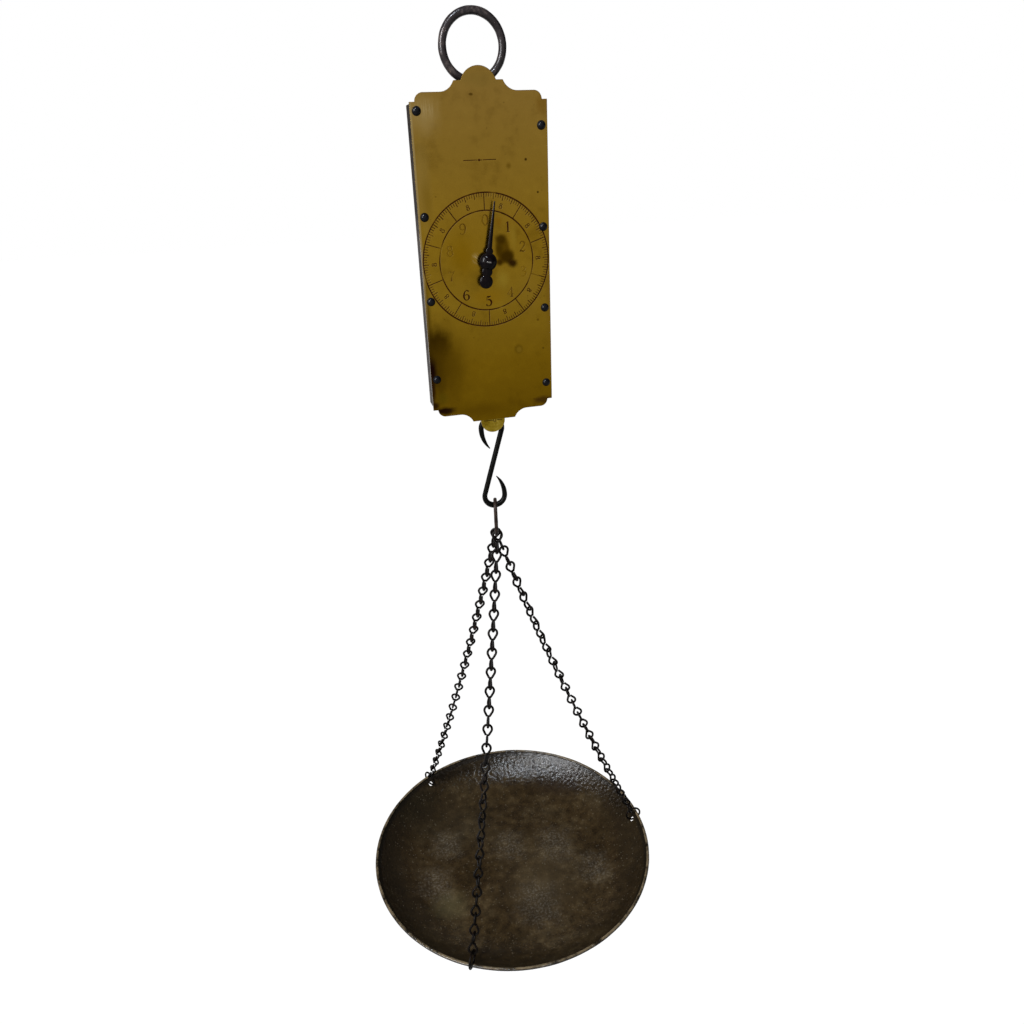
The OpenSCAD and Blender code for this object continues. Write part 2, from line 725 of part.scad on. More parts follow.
module draw_tab() {
    color("goldenrod") difference() {
        translate([0, tab_back, 0]) rotate([90, 0, 0]) linear_extrude(tab_t) {
            translate([-tab_w / 2, tab_low + tab_w / 2]) square([tab_w, tab_top - tab_low - tab_w / 2]);
            translate([0, tab_low + tab_w / 2]) circle(tab_w / 2);
        }
        for (z = rivet_rows) translate([0, 0, z])
            along_y(tab_back - tab_t - 1, tab_back + 1, tab_rivet_d / 2 + hole_fit);
    }
}

module tab_rivets() {
    color("goldenrod") for (z = rivet_rows) translate([0, 0, z]) {
        along_y(tab_back - tab_t - weld, tab_back + 4.8, tab_rivet_d / 2);
        along_y(tab_back - tab_t - tab_rivet_head, tab_back - tab_t, tab_rivet_d / 2 + 0.8);
    }
}

// Half of the S hook in XZ about its centre: its loop and the point, drawn in and tapered
module hook_half() {
    bar = hook_wire / 2;
    step = hook_tip_a / tip_steps;
    seg = 2 * hook_tip_r * sin(step / 2);
    rotate([90, 0, 0]) translate([0, hook_c, 0])
        bent_bar(hook_r, bar, -shank_a, 180 + shank_a);
    // the point: short cones round the wider curve, from full wire to the tip, which meet
    // in balls a little wider than they are
    for (i = [0:tip_steps - 1]) {
        a = i * step;
        r0 = bar + (hook_point / 2 - bar) * i / tip_steps;
        r1 = bar + (hook_point / 2 - bar) * (i + 1) / tip_steps;
        back = i == 0 ? seat_in : 0;
        translate([hook_tip_r * (1 - cos(a)) - hook_r, 0, hook_c - hook_tip_r * sin(a)])
            rotate([0, 180 - a - step / 2, 0]) {
                translate([0, 0, -back])
                    cylinder(h = seg + back, r1 = r0 - (i == 0 ? seat : 0), r2 = r1);
                translate([0, 0, seg]) sphere(r1 + seat);
            }
    }
}

module s_hook() {
    color("black") translate([0, 0, hook_z]) {
        rotate([0, shank_a, 0])
            cylinder(h = 2 * (shank_half + seat_in), r = hook_wire / 2 - seat, center = true);
        hook_half();
        rotate([0, 180, 0]) hook_half();
    }
}

module hanger_link() {
    straight = hanger_len - hanger_w;
    color("black") translate([0, 0, (hanger_top + hanger_low) / 2]) rotate([90, 0, 90]) {
        translate([0, straight / 2, 0]) bent_bar(hanger_r, hanger_wire / 2, 0, 180);
        translate([0, -straight / 2, 0]) bent_bar(hanger_r, hanger_wire / 2, 180, 180);
        for (s = [-1, 1]) translate([s * hanger_r, straight / 2, 0])
            rotate([90, 0, 0]) cylinder(h = straight, r = hanger_wire / 2);
    }
}

// Jack-chain link along Z: two loops at right angles whose legs meet in a drawn waist
module jack_link() {
    bar = chain_wire / 2;
    loop_c = link_len / 2 - loop_od / 2;
    waist = norm([bar, loop_c]);
    leg_a = atan2(loop_c, -bar) - asin(loop_r / waist);
    leg = sqrt(pow(waist, 2) - pow(loop_r, 2));
    arc_a = 90 - leg_a;
    // the legs start where they clear the other loop's legs, inside the waist's ball
    leg_start = bar * tan(arc_a);
    ball_r = bar * (1 + cos(arc_a)) + leg_start * sin(arc_a) + seat;
    rotate([0, 0, 45]) sphere(ball_r);
    for (turn = [[0, 0, 0], [180, 0, 90]]) rotate(turn) {
        rotate([90, 0, 0]) translate([0, loop_c, 0])
            bent_bar(loop_r, bar, -arc_a, 180 + 2 * arc_a);
        for (s = [0, 180]) rotate([0, 0, s]) translate([bar, 0, 0]) rotate([0, arc_a, 0])
            translate([0, 0, leg_start])
                cylinder(h = leg + seat_in - leg_start, r = bar - seat);
    }
}

// One chain: links on a shallow arc from the hanger's bend to the top of its pan ring
module chain(way, place, last_turn, first_turned) {
    start_y = place * chain_step;
    start = [0, start_y, hanger_low + hanger_r - sqrt(pow(hanger_r, 2) - pow(start_y, 2))];
    end = [tie_top_r * cos(way), tie_top_r * sin(way), pan_z + tie_top_h];
    run = end - start;
    flat = norm([run[0], run[1]]);
    heading = atan2(run[1], run[0]);
    chord = norm(run) + chain_ends;
    slope = asin(flat / norm(run));
    bow_r = chord / (2 * sin(chain_bow / 2));
    bow_step = chain_bow / chain_links;
    pitch = 2 * bow_r * sin(bow_step / 2);
    first_a = slope - chain_bow / 2;
    echo(gap_between_links_mm = link_len - 2 * chain_wire - pitch);
    // the links' joints lie on the arc: distance out and height below the first joint
    back = hanger_wire / 2 + hang_gap - link_gap / 2;
    out = [for (i = [0:chain_links]) bow_r * (cos(first_a) - cos(first_a + i * bow_step))];
    down = [for (i = [0:chain_links]) bow_r * (sin(first_a + i * bow_step) - sin(first_a))];
    translate(start) rotate([0, 0, heading])
        translate([-back * sin(first_a), 0, back * cos(first_a)])
        for (i = [0:chain_links - 1]) {
            tilt = first_a + (i + 0.5) * bow_step;
            face = atan2(-sin(heading) * cos(tilt), cos(heading));
            turned = last_turn * max(0, (i - first_turned) / (chain_links - 1 - first_turned));
            translate([(out[i] + out[i + 1]) / 2, 0, -(down[i] + down[i + 1]) / 2])
                rotate([0, -tilt, 0]) rotate([0, 0, face + turned]) jack_link();
        }
}

module chain_left() {
    color("black") chain(chain_rows[0][0], chain_rows[0][1], chain_rows[0][2], chain_rows[0][3]);
}

module chain_right() {
    color("black") chain(chain_rows[1][0], chain_rows[1][1], chain_rows[1][2], chain_rows[1][3]);
}

module chain_front() {
    color("black") chain(chain_rows[2][0], chain_rows[2][1], chain_rows[2][2], chain_rows[2][3]);
}

module pan_rings() {
    color("black") for (row = chain_rows) rotate([0, 0, row[0]])
        translate([tie_x, 0, pan_z + tie_z]) rotate([90, 0, 0])
            rotate_extrude() translate([tie_r, 0]) circle(chain_wire / 2);
}

module pan() {
    color("saddlebrown") translate([0, 0, pan_z]) difference() {
        union() {
            translate([0, 0, -wall_drop - pan_t / 2]) cylinder(h = pan_t, r = floor_r + weld);
            rotate_extrude() intersection() {
                difference() {
                    translate([floor_r, wall_r - wall_drop]) circle(wall_r + pan_t / 2);
                    translate([floor_r, wall_r - wall_drop]) circle(wall_r - pan_t / 2);
                }
                translate([floor_r, -wall_drop - pan_t]) square([bead_r, wall_drop + pan_t]);
            }
            rotate_extrude() translate([bead_r, 0]) circle(pan_bead / 2);
        }
        // chain holes, square to the wall
        for (row = chain_rows) rotate([0, 0, row[0]]) translate([hole_r_pos, 0, -hole_drop])
            rotate([0, -hole_a, 0]) cylinder(h = 4 * pan_t, r = hole_d / 2, center = true);
    }
}

hanging_ring();
suspension_eye();
eye_nut();
case_shell();
dial_plate();
plate_screws();
top_bar();
top_bar_rivets();
spring_left();
spring_right();
dial_bush();
bridge();
bridge_pillars();
bridge_screws();
rack_guide();
pinion_arbor();
pointer_collet();
pointer();
hub_nut();
crosshead();
rack();
rack_screws();
draw_bar();
draw_bar_nut();
draw_tab();
tab_rivets();
s_hook();
hanger_link();
chain_left();
chain_right();
chain_front();
pan_rings();
pan();
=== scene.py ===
# %% [markdown]
# # Dressing a spring balance
# The balance hangs from a ring: a long brass plate on a closed iron case, a dial with one
# pointer, a brass tab, an S hook, and a shallow iron pan on three jack chains. The solids come
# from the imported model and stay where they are. Each step below makes one piece or one finish.

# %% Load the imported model
from math import asin, atan2, cos, degrees, hypot, pi, radians, sin, sqrt

import bpy
import numpy as np
from mathutils import Matrix, Vector


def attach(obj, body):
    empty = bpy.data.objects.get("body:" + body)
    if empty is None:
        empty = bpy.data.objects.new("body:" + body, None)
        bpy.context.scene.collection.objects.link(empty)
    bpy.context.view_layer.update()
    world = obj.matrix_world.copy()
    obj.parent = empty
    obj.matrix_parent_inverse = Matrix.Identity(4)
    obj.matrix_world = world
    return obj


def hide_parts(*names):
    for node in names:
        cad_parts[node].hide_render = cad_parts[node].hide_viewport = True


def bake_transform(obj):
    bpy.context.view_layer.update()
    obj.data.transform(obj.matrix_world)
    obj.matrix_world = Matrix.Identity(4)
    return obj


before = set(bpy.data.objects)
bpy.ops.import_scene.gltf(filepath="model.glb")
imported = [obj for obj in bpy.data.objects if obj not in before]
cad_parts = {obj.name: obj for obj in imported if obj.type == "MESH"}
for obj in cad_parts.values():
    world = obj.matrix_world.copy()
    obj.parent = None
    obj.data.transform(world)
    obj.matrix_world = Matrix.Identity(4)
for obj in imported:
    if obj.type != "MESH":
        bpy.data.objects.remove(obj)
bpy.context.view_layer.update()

mm = 0.001

# %% [markdown]
# ## The camera
# It stands a little below the ring's height, to the left of the balance, and looks down. Its
# place, its three angles and its lens were fitted to the outline of the plate, hook and pan.

# %% Camera
picture_px, lens_px = 1024, 785.35
pitch, heading, roll = radians(24.225), radians(13.789), radians(-2.308)
camera_place = Vector((-0.1228, -0.5548, -0.0649))
forward = Vector((sin(heading) * cos(pitch), cos(heading) * cos(pitch), -sin(pitch)))
level = Vector((cos(heading), -sin(heading), 0))
right = cos(roll) * level + sin(roll) * level.cross(forward)
upward = right.cross(forward)

bpy.ops.object.camera_add()
camera = bpy.context.object
camera.name = "photo_camera"
camera.matrix_world = (Matrix.Translation(camera_place)
                       @ Matrix((right, upward, -forward)).transposed().to_4x4())
camera.data.sensor_fit = "HORIZONTAL"
camera.data.sensor_width = 36
camera.data.lens = lens_px * 36 / picture_px
camera.data.clip_start = 0.01
bpy.context.scene.camera = camera
print("lens", round(camera.data.lens, 2), "mm")

# %% [markdown]
# ## Light, floor and background
# The balance hangs in a white room with a tall window at the left and a little above, so each
# dome and bar has its highlight on the upper left and goes dark on the lower right. A lamp
# overhead lights the pan's far wall, and one behind keeps the back of the case readable. Old
# metal shows mostly what it mirrors, so the world has a white front for the plate, a bright
# window and a darker far side, and the camera sees plain white all round. The share `room` is
# what is left of that white as light, so that a colour renders about as it is written. Seen
# from the right, the plate mirrors the window and turns bright.

# %% Lamps
def lamp(name, place, aim, wide, tall, power, tint):
    bpy.ops.object.light_add(type="AREA", location=place)
    light = bpy.context.object
    light.name = name
    light.rotation_euler = (Vector(aim) - Vector(place)).to_track_quat("-Z", "Y").to_euler()
    light.data.shape = "RECTANGLE"
    light.data.size, light.data.size_y = wide, tall
    light.data.energy = power
    light.data.color = tint
    print(name, power, "W")

lamp("window_lamp", (-0.9, -0.55, 0.35), (0, 0, -0.15), 0.15, 0.8, 34, (0.93, 0.96, 1))
lamp("sky_lamp", (-0.3, -0.52, 0.78), (0.04, 0.11, -0.69), 0.12, 0.08, 21, (0.8, 0.89, 1))
lamp("back_lamp", (0.5, 1.4, -0.1), (0, 0, -0.15), 0.5, 0.5, 6, (0.9, 0.95, 1))
bpy.context.object.visible_glossy = False  # or the pan would mirror it

# %% World and floor
def link(tree, source, target):
    tree.links.new(source, target)

def put(tree, kind, feeds=(), **settings):
    """Adds a node. feeds gives its inputs by name or number: a value, or another node's output."""
    node = tree.nodes.new("ShaderNode" + kind)
    for key, value in settings.items():
        setattr(node, key, value)
    for key, value in dict(feeds).items():
        if isinstance(value, bpy.types.NodeSocket):
            link(tree, value, node.inputs[key])
        else:
            node.inputs[key].default_value = value
    return node

def math(tree, operation, *values):
    """Adds a Math node and gives its output."""
    return put(tree, "Math", enumerate(values), operation=operation).outputs[0]

def ease(tree, value, low, high, start=0.0, end=1.0):
    """start below low, end above high, and a smooth change between them."""
    return put(tree, "MapRange", {"Value": value, "From Min": low, "From Max": high,
                                  "To Min": start, "To Max": end},
               interpolation_type="SMOOTHSTEP").outputs[0]

def backdrop(tree, mirrored):
    """White to the camera and through glass, as given in a mirror, and a share of it as light."""
    ray = put(tree, "LightPath").outputs
    clear = math(tree, "MAXIMUM", ray["Is Camera Ray"], ray["Is Transmission Ray"])
    share = math(tree, "MULTIPLY_ADD", ray["Is Glossy Ray"], 1 - room, room)
    lit = math(tree, "MULTIPLY", mirrored, share)
    return math(tree, "MULTIPLY_ADD", clear, math(tree, "SUBTRACT", 1, lit), lit)

room, dark_side, window_light = 0.26, 0.15, 6.0
front_way, window_way = Vector((0.2, -0.98, 0)), Vector((-0.84, -0.48, 0.25))
front_fade, window_fade = (0.62, 0.93), (0.7, 0.97)  # cosines off each way, from none to full
world = bpy.data.worlds.new("pale_room")
bpy.context.scene.world = world
world.use_nodes = True
sky = world.node_tree
look = put(sky, "TexCoord").outputs["Generated"]
front, window = (put(sky, "VectorMath", {0: look, 1: way},
                     operation="DOT_PRODUCT").outputs["Value"] for way in (front_way, window_way))
glow = math(sky, "MAXIMUM", ease(sky, front, *front_fade, dark_side, 1.0),
            ease(sky, window, *window_fade, 0.0, window_light))
sky.nodes["Background"].inputs["Color"].default_value = (1, 1, 1, 1)
link(sky, backdrop(sky, glow), sky.nodes["Background"].inputs["Strength"])

floor_z, floor_size = -1.75, 40
bpy.ops.mesh.primitive_grid_add(x_subdivisions=4, y_subdivisions=4, size=floor_size,
                                location=(0, 0, floor_z))
floor = bpy.context.object
floor.name = "pale_floor"
floor_paint = bpy.data.materials.new("pale_floor_paint")
floor_paint.use_nodes = True
paint = floor_paint.node_tree
paint_shader = paint.nodes["Principled BSDF"]
paint_shader.inputs["Base Color"].default_value = (0.05, 0.05, 0.05, 1)
paint_shader.inputs["Roughness"].default_value = 0.9
paint_shader.inputs["Specular IOR Level"].default_value = 0
paint_shader.inputs["Emission Color"].default_value = (1, 1, 1, 1)
link(paint, backdrop(paint, 1.0), paint_shader.inputs["Emission Strength"])
floor.data.materials.append(floor_paint)
bpy.context.scene.view_settings.view_transform = "Standard"
print("floor at", floor_z, "m")

# %% [markdown]
# ## Effects that the finishes share
# Old metal is never one colour. Its tone drifts over a few centimetres, it has small pits and
# specks, hands and files leave streaks, and edges are rubbed bright. Each effect is a node group
# that reads places in millimetres, so that one set of groups serves every material.

# %% Node groups
def new_group(name, inputs, outputs):
    """A node group with named inputs and outputs: gives its tree, its inputs and its end node."""
    tree = bpy.data.node_groups.new(name, "ShaderNodeTree")
    for label, value in inputs.items():
        kind = ("Float" if isinstance(value, (int, float))
                else "Vector" if len(value) == 3 else "Color")
        socket = tree.interface.new_socket(label, in_out="INPUT",
                                           socket_type="NodeSocket" + kind)
        socket.default_value = value
    for label, kind in outputs.items():
        tree.interface.new_socket(label, in_out="OUTPUT", socket_type="NodeSocket" + kind)
    return tree, tree.nodes.new("NodeGroupInput").outputs, tree.nodes.new("NodeGroupOutput").inputs

def noise(tree, vector, scale, detail=4.0, rough=0.55):
    return put(tree, "TexNoise", {"Vector": vector, "Scale": scale, "Detail": detail,
                                  "Roughness": rough}).outputs["Fac"]

def mix(tree, factor, under, over, mode="MIX"):
    """Adds a colour Mix node and gives its result."""
    return put(tree, "Mix", {0: factor, 6: under, 7: over},
               data_type="RGBA", blend_type=mode).outputs[2]

# mottle: three tones that drift into each other
mottle, given, gives = new_group(
    "mottle", {"Place": (0, 0, 0), "Scale": 0.1, "Spread": 0.4, "Dark": (0, 0, 0, 1),
               "Middle": (0, 0, 0, 1), "Light": (0, 0, 0, 1)},
    {"Colour": "Color", "Mask": "Float"})
broad = noise(mottle, given["Place"], given["Scale"], 6, 0.6)
fine = noise(mottle, given["Place"], math(mottle, "MULTIPLY", given["Scale"], 5.3), 3, 0.6)
both = math(mottle, "MULTIPLY_ADD", fine, 0.35, math(mottle, "MULTIPLY", broad, 0.65))
half = math(mottle, "MULTIPLY", given["Spread"], 0.5)
mask = ease(mottle, both, math(mottle, "SUBTRACT", 0.5, half), math(mottle, "ADD", 0.5, half))
lower = mix(mottle, ease(mottle, mask, 0, 0.5), given["Dark"], given["Middle"])
link(mottle, mix(mottle, ease(mottle, mask, 0.5, 1), lower, given["Light"]), gives["Colour"])
link(mottle, mask, gives["Mask"])

# blot: one soft or ragged patch at a place
blot, given, gives = new_group(
    "blot", {"Place": (0, 0, 0), "Centre": (0, 0, 0), "Size": (1, 1, 1), "Ragged": 0.3,
             "Soft": 0.6}, {"Mask": "Float"})
away = put(blot, "VectorMath", {0: given["Place"], 1: given["Centre"]}, operation="SUBTRACT")
away = put(blot, "VectorMath", {0: away.outputs[0], 1: given["Size"]}, operation="DIVIDE")
reach = put(blot, "VectorMath", {0: away.outputs[0]}, operation="LENGTH").outputs["Value"]
drift = math(blot, "SUBTRACT", noise(blot, away.outputs[0], 1.7, 5, 0.6), 0.5)
reach = math(blot, "MULTIPLY_ADD", drift, given["Ragged"], reach)
link(blot, ease(blot, reach, math(blot, "SUBTRACT", 1, given["Soft"]), 1.0, 1.0, 0.0),
     gives["Mask"])

# specks: small round spots of many sizes
specks, given, gives = new_group(
    "specks", {"Place": (0, 0, 0), "Scale": 1.0, "Amount": 0.3}, {"Mask": "Float"})
cells = put(specks, "TexVoronoi", {"Vector": given["Place"], "Scale": given["Scale"]})
chance = put(specks, "SeparateColor", {"Color": cells.outputs["Color"]}).outputs[0]
size = math(specks, "MULTIPLY", math(specks, "POWER", chance, 3), given["Amount"])
spot = math(specks, "SUBTRACT", size, cells.outputs["Distance"])
link(specks, ease(specks, spot, 0, 0.08), gives["Mask"])

# streaks: fine lines drawn out along one way
streaks, given, gives = new_group(
    "streaks", {"Place": (0, 0, 0), "Stretch": (1, 1, 0.05), "Scale": 1.5}, {"Mask": "Float"})
drawn = put(streaks, "VectorMath", {0: given["Place"], 1: given["Stretch"]}, operation="MULTIPLY")
link(streaks, noise(streaks, drawn.outputs[0], given["Scale"], 3, 0.7), gives["Mask"])

# hammering: shallow round dents that run into each other
hammering, given, gives = new_group(
    "hammering", {"Place": (0, 0, 0), "Scale": 0.25}, {"Height": "Float"})
dents = put(hammering, "TexVoronoi", {"Vector": given["Place"], "Scale": given["Scale"],
                                      "Smoothness": 0.7}, feature="SMOOTH_F1")
grit = noise(hammering, given["Place"], math(hammering, "MULTIPLY", given["Scale"], 2.7), 4, 0.6)
link(hammering, math(hammering, "MULTIPLY_ADD", grit, 0.6, dents.outputs["Distance"]),
     gives["Height"])

# rubbed: bright metal along the bevelled edges, broken up
rubbed, given, gives = new_group(
    "rubbed", {"Edge": 0.0, "Place": (0, 0, 0), "Amount": 0.7}, {"Mask": "Float"})
broken = ease(rubbed, noise(rubbed, given["Place"], 0.35, 5, 0.7), 0.35, 0.6)
link(rubbed, math(rubbed, "MULTIPLY", math(rubbed, "MULTIPLY", given["Edge"], given["Amount"]),
                  broken), gives["Mask"])
print("groups", [group.name for group in bpy.data.node_groups])

# %% [markdown]
# ## The finishes
# Every metal is a Principled shader. Its colour, roughness and relief come from the groups, and
# what is the same all over is set on the shader itself. The colours are written as plain numbers,
# the way a colour picker shows them, and turned into the linear values that Blender needs. A
# blot on a face has the depth `through`, far more than any piece, so that it goes right through.

# %% Material helpers
def tone(red, green, blue):
    """A colour given as 0 to 255, as a picker shows it, in Blender's linear values."""
    return (*(((c / 255 + 0.055) / 1.055) ** 2.4 if c > 10 else c / 255 / 12.92
              for c in (red, green, blue)), 1)

def use(tree, group, **feeds):
    """Places a node group with values or other nodes' outputs on its inputs."""
    node = tree.nodes.new("ShaderNodeGroup")
    node.node_tree = group
    for key, value in feeds.items():
        if isinstance(value, bpy.types.NodeSocket):
            link(tree, value, node.inputs[key])
        else:
            node.inputs[key].default_value = value
    return node.outputs

def new_finish(name, metallic, specular):
    """A material, its tree, its shader, and the place on the piece in millimetres."""
    finish = bpy.data.materials.new(name)
    finish.use_nodes = True
    tree = finish.node_tree
    shader = tree.nodes["Principled BSDF"]
    shader.inputs["Metallic"].default_value = metallic
    shader.inputs["Specular IOR Level"].default_value = specular
    coords = put(tree, "TexCoord").outputs["Object"]
    place = put(tree, "Mapping", {"Vector": coords, "Scale": (1000, 1000, 1000)}).outputs[0]
    return finish, tree, shader, place

full_step = 0.0001
through = 99

def relief(tree, shader, height, depth=full_step):
    """Bump on the shader: depth is what a height of 1 stands for, in metres."""
    bump = put(tree, "Bump", {"Height": height, "Strength": 1.0, "Distance": depth})
    link(tree, bump.outputs[0], shader.inputs["Normal"])

# %% Plain metals
def old_metal(name, tones, metallic, rough, specular=0.3, scale=0.08, spread=0.4, specking=0.35,
              speck_tone=(20, 12, 8), edge_tone=(150, 140, 125), edge_amount=0.6,
              dents=0.0, dent_scale=0.3, brushed=(1, 1, 1), brush_depth=0.00002):
    """One aged metal: three drifting tones, specks, rubbed edges, streaks and dents."""
    finish, tree, shader, place = new_finish(name, metallic, specular)
    base = use(tree, mottle, Place=place, Scale=scale, Spread=spread,
               Dark=tone(*tones[0]), Middle=tone(*tones[1]), Light=tone(*tones[2]))
    spots = use(tree, specks, Place=place, Scale=0.8, Amount=specking)["Mask"]
    colour = mix(tree, math(tree, "MULTIPLY", spots, 0.8), base["Colour"], tone(*speck_tone))
    edge = put(tree, "Attribute", attribute_name="edge").outputs["Fac"]
    bright = use(tree, rubbed, Edge=edge, Place=place, Amount=edge_amount)["Mask"]
    colour = mix(tree, bright, colour, tone(*edge_tone))
    link(tree, colour, shader.inputs["Base Color"])
    lines = use(tree, streaks, Place=place, Stretch=brushed, Scale=1.2)["Mask"]
    worn = math(tree, "MULTIPLY_ADD", lines, 0.5, math(tree, "MULTIPLY", base["Mask"], 0.5))
    link(tree, put(tree, "MapRange", {"Value": worn, "From Min": 0.2, "From Max": 0.8,
                                      "To Min": rough[1], "To Max": rough[0]}).outputs[0],
         shader.inputs["Roughness"])
    height = math(tree, "MULTIPLY", lines, brush_depth / full_step)
    if dents:
        hollows = use(tree, hammering, Place=place, Scale=dent_scale)["Height"]
        height = math(tree, "MULTIPLY_ADD", hollows, dents / full_step, height)
    relief(tree, shader, math(tree, "SUBTRACT", height, math(tree, "MULTIPLY", spots, 0.4)))
    return finish

ring_iron = old_metal("ring_iron_brown", [(12, 10, 10), (26, 22, 22), (52, 45, 42)], 0.1,
                      (0.14, 0.28), 0.14, 0.12, dents=0.00012, dent_scale=0.35,
                      edge_tone=(120, 112, 105))
forged_iron = old_metal("forged_iron_dark", [(26, 22, 19), (42, 35, 30), (66, 57, 50)], 0.3,
                        (0.35, 0.6), dents=0.0001)
fastener_steel = old_metal("fastener_steel_grey", [(42, 38, 35), (66, 61, 56), (92, 87, 82)],
                           0.9, (0.3, 0.5), edge_tone=(120, 115, 108))
case_iron = old_metal("case_iron_japanned", [(14, 11, 10), (24, 19, 16), (44, 35, 28)], 0.0,
                      (0.4, 0.6), 0.06, 0.05, specking=0.3, speck_tone=(60, 38, 20),
                      edge_tone=(66, 54, 40), edge_amount=0.6, brushed=(1, 1, 0.1))
screw_iron = old_metal("screw_iron_blue_black", [(4, 4, 5), (7, 7, 9), (15, 15, 17)], 0.0,
                       (0.12, 0.22), 0.05, 0.3, specking=0.2)
spring_steel = old_metal("spring_steel_grey", [(44, 42, 42), (70, 68, 68), (96, 94, 94)],
                         0.9, (0.25, 0.42), edge_amount=0.0, specking=0.15)
works_brass = old_metal("works_brass_dull", [(74, 54, 16), (106, 80, 26), (134, 106, 46)], 1.0,
                        (0.28, 0.45), edge_tone=(150, 122, 66), speck_tone=(50, 34, 10),
                        brushed=(0.1, 1, 1))
works_steel = old_metal("works_steel_bright", [(66, 64, 62), (92, 90, 88), (118, 116, 114)],
                        1.0, (0.22, 0.4), edge_tone=(130, 128, 124), specking=0.15,
                        brushed=(1, 1, 0.1))
pointer_steel = old_metal("pointer_steel_blued", [(3, 2, 3), (5, 3, 4), (12, 8, 7)], 0.0,
                          (0.1, 0.18), 0.04, 0.15, specking=0.1, edge_tone=(60, 52, 48),
                          brushed=(1, 1, 0.15), brush_depth=0.00001)
hook_iron = old_metal("hook_iron_black", [(2, 2, 2), (4, 4, 3), (10, 9, 8)], 0.0,
                      (0.24, 0.4), 0.035, 0.2, dents=0.00006, dent_scale=0.5)
hanger_iron = old_metal("hanger_iron_brown", [(16, 11, 9), (30, 22, 18), (56, 46, 38)], 0.1,
                        (0.26, 0.44), 0.07, 0.25, dents=0.00006, dent_scale=0.5)
chain_iron = old_metal("chain_iron_rusted", [(3, 2, 2), (6, 4, 3), (18, 12, 9)], 0.0,
                       (0.28, 0.48), 0.04, 0.12, spread=0.5, speck_tone=(44, 25, 14),
                       specking=0.35, dents=0.00005, dent_scale=0.6)
print("finishes", len(bpy.data.materials))

# %% [markdown]
# ## The plate's brass
# The plate is warm and fairly bright round the dial, and darker and olive further down; that
# darkening is partly the brass's own tone and partly painted shade. Old lacquer and dirt stay dark
# along the left side and in the lower corners. A dark patch like a wing stands right of the hub,
# and the top left corner is scuffed pale. Each of these is one blot with its own place, size and
# tone over a ramp from top to bottom. A painted picture could carry them too, but blots stay sharp
# at any size and are moved by one number. The tones are the ones that the brass shows where it
# mirrors the white front of the room.

# %% Plate brass
plate_y, plate_half, plate_top, plate_low = -12.0, 44.5, -24.0, -236.0
# top to bottom: the darkening towards the bottom is partly the brass's tone and partly painted
# shade
plate_ramp = [(0.0, (128, 101, 44)), (0.18, (126, 99, 35)), (0.42, (125, 97, 22)),
              (0.62, (122, 96, 23)), (0.82, (108, 82, 10)), (1.0, (95, 71, 5))]
